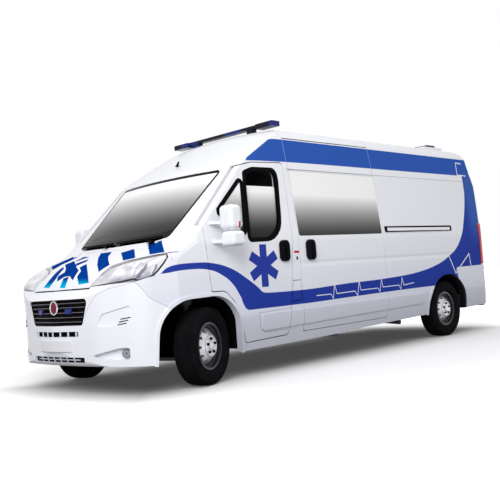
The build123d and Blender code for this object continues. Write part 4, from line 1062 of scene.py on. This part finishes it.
# The nose: its middle line by height, its plan outline by distance out, and how far behind it turns about
NOSE_PROFILE = np.array([
    (0.26, 0.905), (0.43, 0.956), (0.60, 0.954), (0.835, 0.925), (0.938, 0.862), (1.085, 0.7),
    (1.235, 0.345)])
NOSE_PLAN = np.array([(0.0, 0.956), (0.06, 0.949), (0.47, 0.892), (0.65, 0.845), (0.84, 0.755), (0.98, 0.61)])
NOSE_TURN = 3.5
# Station of the front plate's middle
PLATE_FACE = 0.955


def nose_station(y, height):
    """Station of the nose: the profile turned about an upright line far behind, kept inside the plan."""
    profile = np.interp(height, *NOSE_PROFILE.T)
    turned = np.sqrt((profile + NOSE_TURN) ** 2 - y ** 2) - NOSE_TURN
    return np.minimum(turned, np.interp(np.abs(y), *NOSE_PLAN.T))


def nose_patch(y_span, z_span, depth, thick, columns=25, rows=9, rounding=1.0, bow=None):
    """A plate that follows the nose: a grid over width and height, thick inside and zero at its rim.

    Rounding above 1 draws the grid's lines towards the rim. With a bow the plate is an even curve instead,
    set back by the bow times the square of its distance from the middle.
    """
    u = np.linspace(-1, 1, columns)[:, None]
    v = np.linspace(-1, 1, rows)[None, :]
    su = np.sign(u) * (1 - (1 - np.abs(u)) ** rounding)
    sv = np.sign(v) * (1 - (1 - np.abs(v)) ** rounding)
    y = (y_span[0] + y_span[1]) / 2 + su * (y_span[1] - y_span[0]) / 2 + 0 * sv
    z = (z_span[0] + z_span[1]) / 2 + sv * (z_span[1] - z_span[0]) / 2 + 0 * su
    inside = (np.abs(u) < 0.999) & (np.abs(v) < 0.999)
    face = nose_station(y, z) if bow is None else PLATE_FACE - bow * y ** 2
    x = face - depth + STATION
    front = np.stack([x + thick * inside, y, z], axis=-1)
    back = np.stack([x, y, z], axis=-1)
    return [(front, False, False), (back[::-1], False, False)]


def pod_grid(centre, half, power=0.6, steps=32, rings=17):
    """A rounded pod: each axis is its half size times a signed power of the sphere's sines and cosines."""
    turn = np.linspace(-np.pi, np.pi, steps, endpoint=False)[:, None]
    rise = np.linspace(-np.pi / 2, np.pi / 2, rings)[None, :]

    def bent(value):
        return np.sign(value) * np.abs(value) ** power

    x = bent(np.cos(rise)) * bent(np.cos(turn))
    y = bent(np.cos(rise)) * bent(np.sin(turn))
    z = bent(np.sin(rise)) + 0 * turn
    return np.array(centre) + np.stack([x, y, z], axis=-1) * np.array(half)


class AMBULANCE_OT_finishes(bpy.types.Operator):
    """Give every solid its paint, glass, metal or plastic"""

    bl_idname = "ambulance.finishes"
    bl_label = "Finishes"

    def execute(self, context):
        props = context.scene.ambulance_livery
        make_bar_group()
        make_stroke_group()
        make_quad_group()
        make_paint_group()
        make_grain_group()
        looks = {
            make_livery(props): [
                "roof", "cab_frame", "front_wings", "body_side_left", "body_side_right", "slide_door_left",
                "front_door_left", "front_door_right", "bonnet", "fuel_flap", "scuttle"],
            make_paint("body_white", props.white): ["rear_door_left", "rear_door_right"],
            make_paint("rear_bumper_white", props.white, 0.6, rear_arch_marks): ["rear_bumper"],
            make_paint("bumper_white", props.white, 0.1, bumper_marks): ["front_bumper"],
            make_paint("mirror_white", props.white, 0.0, mirror_marks): [
                "front_fittings_left", "front_fittings_right"],
            make_paint("rail_white", props.white, 0.0, rail_marks): ["slide_door_fittings"],
            make_plastic("moulded_black", tone("plastic black")): [
                "grilles", "wipers", "arch_liners", "steering_wheel"],
            make_plastic("moulded_grey", tone("plastic grey"), 500.0): ["bulkhead", "dashboard"],
            make_metal("chassis_steel", tone("steel"), 0.3, 0.5): [
                "hinges", "rear_step", "floor_pan", "front_suspension", "rear_suspension", "tank_and_exhaust",
                "knuckle_left", "knuckle_right"],
            make_metal("cast_metal", tone("cast"), 0.6, 0.5): ["engine_block"],
            make_fabric(): ["cab_seats"],
            make_wheel(): [f"wheel_{end}_{hand}" for end, hand in WHEELS],
            make_rubber(): [f"tyre_{end}_{hand}" for end, hand in WHEELS],
            make_lamp_lens(): ["front_lamps"],
            make_tail_lens(): ["tail_lamps"],
            make_blue_lens(): ["light_bars"],
            make_glass("screen_glass", 1.38, 1.86, screen_border): ["windscreen"],
            make_glass("side_glass", 1.22, 1.7): ["side_windows"],
            make_glass("door_glass", 1.31, 1.72): ["front_glass_left", "front_glass_right"],
            make_glass("rear_glass", 1.3, 1.9): ["rear_glass_left", "rear_glass_right"],
        }
        for material, nodes in looks.items():
            for name in nodes:
                mesh = frame["nodes"][name].data
                mesh.materials.clear()
                mesh.materials.append(material)
        make_metal("chrome_trim", tone("chrome"), 1.0, 0.06)
        make_metal("mirror_glass", tone("mirror"), 1.0, 0.02)
        make_metal("dim_trim", tone("dim metal"), 0.4, 0.3)
        make_paint("badge_red", tone("badge"), 0.0)
        make_paint("plate_white", tone("plate"), 0.2)
        return {"FINISHED"}


# The wheel's outer face from its middle, the circle of its nuts, their first angle, and their size
WHEEL_FACE = 0.0862
NUT_CIRCLE, NUT_COUNT, NUT_TURN = 0.062, 5, 0.3
NUT_ACROSS, NUT_HEIGHT = 0.0135, 0.016
# Profiles of the hub's cap and of the ring round the nuts. Columns: distance out from the face, radius
HUB_CAP = np.array([(0.0, 0.0), (0.0, 0.037), (0.008, 0.0365), (0.013, 0.033), (0.015, 0.02), (0.0155, 0.0)])
HUB_RING = np.array([(-0.0005, 0.081), (0.004, 0.083), (0.006, 0.088), (0.004, 0.093), (-0.0005, 0.0955)])


class AMBULANCE_OT_tyres(bpy.types.Operator):
    """Tyres with grooved treads, and the nuts and caps of the wheels"""

    bl_idname = "ambulance.tyres"
    bl_label = "Tyres"

    def execute(self, context):
        props = context.scene.ambulance_tyre
        for end, hand in WHEELS:
            body = f"{hand}_{end}_wheel"
            axes = wheel_axes(f"{hand}_{end}_roll")
            tyre = mesh_piece(f"tread_{end}_{hand}", [(tyre_grid(props, axes), True, True)], "rubber", body,
                              35.0)
            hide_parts(f"tyre_{end}_{hand}")
            centre, axle, ahead, up = axes
            face = centre + axle * WHEEL_FACE
            cap = turned_grid((face, axle, ahead, up), *HUB_CAP.T, 48)
            ring = turned_grid((face, axle, ahead, up), *HUB_RING.T, 64)
            mesh_piece(f"hub_{end}_{hand}", [(cap, True, False), (ring, True, True)], "wheel_metal", body,
                       30.0)
            nuts = []
            for angle in full_turn(NUT_COUNT).ravel() + NUT_TURN:
                middle = face + NUT_CIRCLE * (np.cos(angle) * ahead + np.sin(angle) * up)
                nuts.append((nut_grid((middle, axle, ahead, up), NUT_ACROSS, NUT_HEIGHT), True, False))
            mesh_piece(f"nuts_{end}_{hand}", nuts, "moulded_black", body, 30.0)
        return {"FINISHED"}


# Outlines of the front door's windows. Columns: station, height, corner radius
DOOR_WINDOW = [
    (-0.985, 1.262, 0.23), (-0.545, 1.255, 0.03), (-0.6, 1.895, 0.03), (-0.72, 1.936, 0.12),
    (-1.04, 1.942, 0.06), (-1.05, 1.85, 0.15)]
QUARTER_LIGHT = [(-0.505, 1.3, 0.025), (-0.2, 1.505, 0.01), (-0.2, 1.535, 0.01), (-0.56, 1.862, 0.03)]


class AMBULANCE_OT_seals(bpy.types.Operator):
    """Black rubber round the door windows"""

    bl_idname = "ambulance.seals"
    bl_label = "Window seals"

    def execute(self, context):
        for hand, side in HANDS.items():
            grids = [(seal_grid(window, side), True, True) for window in (DOOR_WINDOW, QUARTER_LIGHT)]
            mesh_piece(f"window_seal_{hand}", grids, "moulded_black", f"{hand}_front_door")
        return {"FINISHED"}


# Grille bars: their heights and half height, the half width of one at a height, and its change with height
BAR_HEIGHTS = (0.644, 0.683, 0.723, 0.768, 0.805)
BAR_HALF_HEIGHT = 0.0035
BAR_FOOT, BAR_FOOT_HALF, BAR_SPREAD = 0.612, 0.375, 0.33
# Upright dividers of the two lower openings. Columns: places counted from the middle, spacing, half width and
# span of heights
DIVIDERS = (
    (np.arange(-3, 4), 0.103, 0.009, (0.516, 0.564)),
    (np.arange(-2.5, 3), 0.104, 0.008, (0.294, 0.344)),
)
# The bar across the lowest opening: spans of width and height
CROSS_BAR = ((-0.34, 0.34), (0.314, 0.325))
# The badge's height and its set-back from the nose, and its two profiles. Columns: distance ahead, radius
BADGE_HEIGHT, BADGE_DEPTH = 0.768, 0.012
BADGE_RING = np.array([
    (0.004, 0.05), (0.009, 0.054), (0.009, 0.06), (0.004, 0.064), (-0.006, 0.064), (-0.006, 0.05)])
BADGE_FACE = np.array([(0.007, 0.0), (0.0065, 0.03), (0.004, 0.052), (-0.004, 0.052), (-0.004, 0.0)])
# Flashers: distance out of their middles, half width and span of heights
FLASHER_OUT, FLASHER_HALF, FLASHER_HEIGHTS = 0.225, 0.038, (0.71, 0.76)
# The front plate: spans of width and height, and its bow
PLATE_SPANS = ((-0.26, 0.26), (0.385, 0.492))
PLATE_BOW = 0.5


class AMBULANCE_OT_nose(bpy.types.Operator):
    """Grille bars, dividers, badge, blue flashers and the blank plate on the nose"""

    bl_idname = "ambulance.nose"
    bl_label = "Nose trim"

    def execute(self, context):
        bars = []
        for height in BAR_HEIGHTS:
            half = BAR_FOOT_HALF + (height - BAR_FOOT) * BAR_SPREAD
            heights = (height - BAR_HALF_HEIGHT, height + BAR_HALF_HEIGHT)
            bars += nose_patch((-half, half), heights, depth=0.014, thick=0.003, columns=61, rows=5)
        mesh_piece("grille_bars", bars, "dim_trim", "body")
        posts = []
        for places, spacing, half, heights in DIVIDERS:
            for y in places * spacing:
                posts += nose_patch((y - half, y + half), heights, depth=0.006, thick=0.006,
                                    columns=7, rows=7)
        posts += nose_patch(*CROSS_BAR, depth=0.006, thick=0.006, columns=41, rows=5)
        mesh_piece("nose_dividers", posts, "body_white", "body")
        middle = (nose_station(0.0, BADGE_HEIGHT) - BADGE_DEPTH + STATION, 0.0, BADGE_HEIGHT)
        axes = (np.array(middle), *np.eye(3))
        discs = (("badge", BADGE_RING, "chrome_trim"), ("badge_face", BADGE_FACE, "badge_red"))
        for name, profile, finish in discs:
            disc = turned_grid(axes, *profile.T, 48)
            mesh_piece(name, [(disc, True, name == "badge")], finish, "body")
        flashers = []
        for side in HANDS.values():
            middle = side * FLASHER_OUT
            flashers += nose_patch((middle - FLASHER_HALF, middle + FLASHER_HALF), FLASHER_HEIGHTS,
                                   depth=0.013, thick=0.016)
        mesh_piece("grille_flashers", flashers, "warning_lens", "body")
        plate = nose_patch(*PLATE_SPANS, depth=0.001, thick=0.006, columns=41, rows=11, rounding=1.3,
                           bow=PLATE_BOW)
        mesh_piece("front_plate", plate, "plate_white", "body")
        return {"FINISHED"}


# Stations, distance out and height of the doors' grips and of the lock, and their half sizes
GRIP_STATION, SLIDE_GRIP_STATION = -1.018, -1.413
GRIP_OUT, GRIP_HEIGHT, GRIP_HALF = 1.048, 1.142, (0.017, 0.016, 0.082)
LOCK, LOCK_HALF = (-0.968, 1.047, 1.075), (0.012, 0.005, 0.012)
# The mirror's upper and lower glass. Columns: station, distance out, height, half width, half height
MIRROR_FACES = ((-0.264, 1.157, 1.448, 0.066, 0.092), (-0.274, 1.166, 1.26, 0.068, 0.048))
MIRROR_HALF_DEPTH = 0.006
# The aerial: its foot, its lean to the top, and its profile. Columns: share of the way up, radius
AERIAL_FOOT = (-0.6 + STATION, 0.0, 2.095)
AERIAL_LEAN = (-0.035, 0.0, 0.065)
AERIAL = np.array([(0, 0), (0.001, 0.026), (0.2, 0.022), (0.3, 0.013), (0.999, 0.008), (1, 0)])


class AMBULANCE_OT_trim(bpy.types.Operator):
    """Door grips, mirror glasses and the roof aerial"""

    bl_idname = "ambulance.trim"
    bl_label = "Grips, mirrors and aerial"

    def execute(self, context):
        for hand, side in HANDS.items():
            body = f"{hand}_front_door"
            grip = pod_grid((GRIP_STATION + STATION, side * GRIP_OUT, GRIP_HEIGHT), GRIP_HALF)
            lock = pod_grid((LOCK[0] + STATION, side * LOCK[1], LOCK[2]), LOCK_HALF, 1.0)
            mesh_piece(f"door_grip_{hand}", [(grip, True, False), (lock, True, False)], "moulded_black", body)
            faces = [pod_grid((x + STATION, side * y, z), (MIRROR_HALF_DEPTH, wide, tall), 0.35)
                     for x, y, z, wide, tall in MIRROR_FACES]
            mesh_piece(f"mirror_glass_{hand}", [(face, True, False) for face in faces], "mirror_glass", body)
        grip = pod_grid((SLIDE_GRIP_STATION + STATION, GRIP_OUT, GRIP_HEIGHT), GRIP_HALF)
        mesh_piece("slide_grip", [(grip, True, False)], "moulded_black", "body")
        share = np.linspace(0, 1, 9)
        ahead, across, _ = np.eye(3)
        axes = (np.array(AERIAL_FOOT), np.array(AERIAL_LEAN), ahead, across)
        mast = turned_grid(axes, share, np.interp(share, *AERIAL.T), 24)
        mesh_piece("aerial", [(mast, True, False)], "moulded_black", "body")
        return {"FINISHED"}


FLOOR_HALF = 60
# Half length and half width of the rectangle under which a shadow is painted on the floor, and how far in and
# out it reaches
SHADE_HALF = (2.95, 1.0, 0.0)
SHADE_REACH = (-0.65, 0.45)
# Distances from the middle between which the floor starts to glow white, and the glow at both; the weak glow
# near the vehicle deepens the painted shadow
GLOW_REACH, GLOW = (2.4, 5.2), (0.06, 0.85)
# Lamps. Columns: name, place, share of the key light's power
LAMPS = (
    ("key", (9.2, 5.6, 6.4), 1.0),
    ("left", (-2.0, 11.0, 4.0), 0.24),
    ("right", (-2.0, -11.0, 4.0), 0.24),
)
LAMP_SIZE = 6.0
LAMP_TARGET = (0.0, 0.0, 1.0)
# The photograph's camera: its place, and its yaw, pitch and roll in degrees
CAMERA_PLACE = (4.427 + STATION, 5.906, 0.914)
CAMERA_TURN = (-135.49, 2.04, -4.31)


def seen_rays(graph):
    """1 for the rays that show a surface itself, to the camera, in a reflection or through glass."""
    path = graph.add("ShaderNodeLightPath").outputs
    return graph.largest(path["Is Camera Ray"], path["Is Glossy Ray"], path["Is Transmission Ray"])


def turned_to(place, aim, roll=0.0):
    """The matrix of a lamp or camera at a place that looks along a direction, rolled about it."""
    aim = np.array(aim) / np.linalg.norm(aim)
    across = np.cross(aim, (0, 0, 1.0))
    across /= np.linalg.norm(across)
    upward = np.cross(across, aim)
    right = math.cos(roll) * across + math.sin(roll) * upward
    above = -math.sin(roll) * across + math.cos(roll) * upward
    turn = np.stack([right, above, -aim], axis=1)
    return Matrix.Translation(place) @ Matrix(turn.tolist()).to_4x4()


def lay_floor(scene):
    """A pale floor with a painted shadow under the vehicle, fading to white around it."""
    u = np.linspace(-FLOOR_HALF, FLOOR_HALF, 2)
    grid = np.stack(np.meshgrid(u, u, indexing="ij") + [np.zeros((2, 2))], axis=-1)
    mesh = bpy.data.meshes.new("floor")
    mesh.from_pydata(grid.reshape(-1, 3).tolist(), [], [(0, 2, 3, 1)])
    floor = bpy.data.objects.new("floor", mesh)
    scene.collection.objects.link(floor)
    material, graph, shader, point = new_material("floor_white")
    seen = seen_rays(graph)
    away = graph.vector("SUBTRACT", graph.vector("ABSOLUTE", point), SHADE_HALF)
    ahead, aside, _ = graph.split(away)
    beside = graph.vector("LENGTH", graph.vector("MAXIMUM", away, (0, 0, 0)))
    under = graph.math("MINIMUM", graph.math("MAXIMUM", ahead, aside), 0.0)
    shade = graph.ramp(graph.math("ADD", beside, under), *SHADE_REACH)
    shown = graph.mix(shade, tone("floor shade"), tone("floor"))
    glow = graph.ramp(graph.vector("LENGTH", point), *GLOW_REACH, *GLOW)
    graph.fill(shader, Base_Color=graph.mix(seen, tone("floor bounce"), shown), Roughness=0.9,
               Specular_IOR_Level=0.0, Emission_Color=tone("clean"),
               Emission_Strength=graph.times(seen, glow))
    mesh.materials.append(material)


def light_world(scene, strength):
    """White where it is seen, and a plain light on the object that is a little weaker from below."""
    world = bpy.data.worlds.new("studio")
    scene.world = world
    world.use_nodes = True
    graph = Graph(world.node_tree)
    back = next(node for node in world.node_tree.nodes if node.type == "BACKGROUND")
    height = graph.split(graph.add("ShaderNodeTexCoord").outputs["Generated"])[2]
    sky = graph.ramp(height, -0.1, 0.9, strength * 0.82, strength)
    graph.fill(back, Color=tone("clean"), Strength=graph.largest(seen_rays(graph), sky))


def hang_lamps(scene, power):
    """Large soft lamps aimed at the vehicle, out of sight in reflections."""
    for name, place, share in LAMPS:
        lamp = bpy.data.lights.new(name, "AREA")
        lamp.size = LAMP_SIZE
        lamp.energy = power * share
        item = bpy.data.objects.new(name, lamp)
        scene.collection.objects.link(item)
        item.visible_glossy = False
        item.matrix_world = turned_to(place, np.array(LAMP_TARGET) - np.array(place))


def set_camera(scene, lens):
    """The camera at the photograph's angle."""
    yaw, pitch, roll = (math.radians(angle) for angle in CAMERA_TURN)
    aim = (math.cos(pitch) * math.cos(yaw), math.cos(pitch) * math.sin(yaw), math.sin(pitch))
    camera = bpy.data.objects.new("camera", bpy.data.cameras.new("camera"))
    scene.collection.objects.link(camera)
    camera.data.sensor_width = 36.0
    camera.data.sensor_fit = "HORIZONTAL"
    camera.data.lens = lens
    camera.data.clip_end = 200.0
    camera.matrix_world = turned_to(CAMERA_PLACE, aim, roll)
    scene.camera = camera


class AMBULANCE_OT_stage(bpy.types.Operator):
    """Floor, soft light and the camera at the photograph's angle"""

    bl_idname = "ambulance.stage"
    bl_label = "Stage"

    def execute(self, context):
        props = context.scene.ambulance_stage
        scene = context.scene
        scene.view_settings.view_transform = "Standard"
        lay_floor(scene)
        light_world(scene, props.world)
        hang_lamps(scene, props.key)
        set_camera(scene, props.lens)
        return {"FINISHED"}


STEPS = (AMBULANCE_OT_finishes, AMBULANCE_OT_tyres, AMBULANCE_OT_seals, AMBULANCE_OT_nose, AMBULANCE_OT_trim,
         AMBULANCE_OT_stage)


class AMBULANCE_PT_panel(bpy.types.Panel):
    """The steps of the ambulance, in order"""

    bl_label = "Ambulance"
    bl_idname = "AMBULANCE_PT_panel"
    bl_space_type = "VIEW_3D"
    bl_region_type = "UI"
    bl_category = "Ambulance"

    def draw(self, context):
        for step in STEPS:
            self.layout.operator(step.bl_idname)


PROPS = (("ambulance_livery", LiveryProps), ("ambulance_tyre", TyreProps), ("ambulance_stage", StageProps))
CLASSES = tuple(kind for _, kind in PROPS) + STEPS + (AMBULANCE_PT_panel,)


def register():
    for kind in CLASSES:
        bpy.utils.register_class(kind)
    for name, kind in PROPS:
        setattr(bpy.types.Scene, name, bpy.props.PointerProperty(type=kind))


def unregister():
    for name, _ in PROPS:
        delattr(bpy.types.Scene, name)
    for kind in reversed(CLASSES):
        bpy.utils.unregister_class(kind)


def main():
    register()
    for step in STEPS:
        area, name = step.bl_idname.split(".")
        getattr(getattr(bpy.ops, area), name)()


if __name__ == "__main__":
    main()
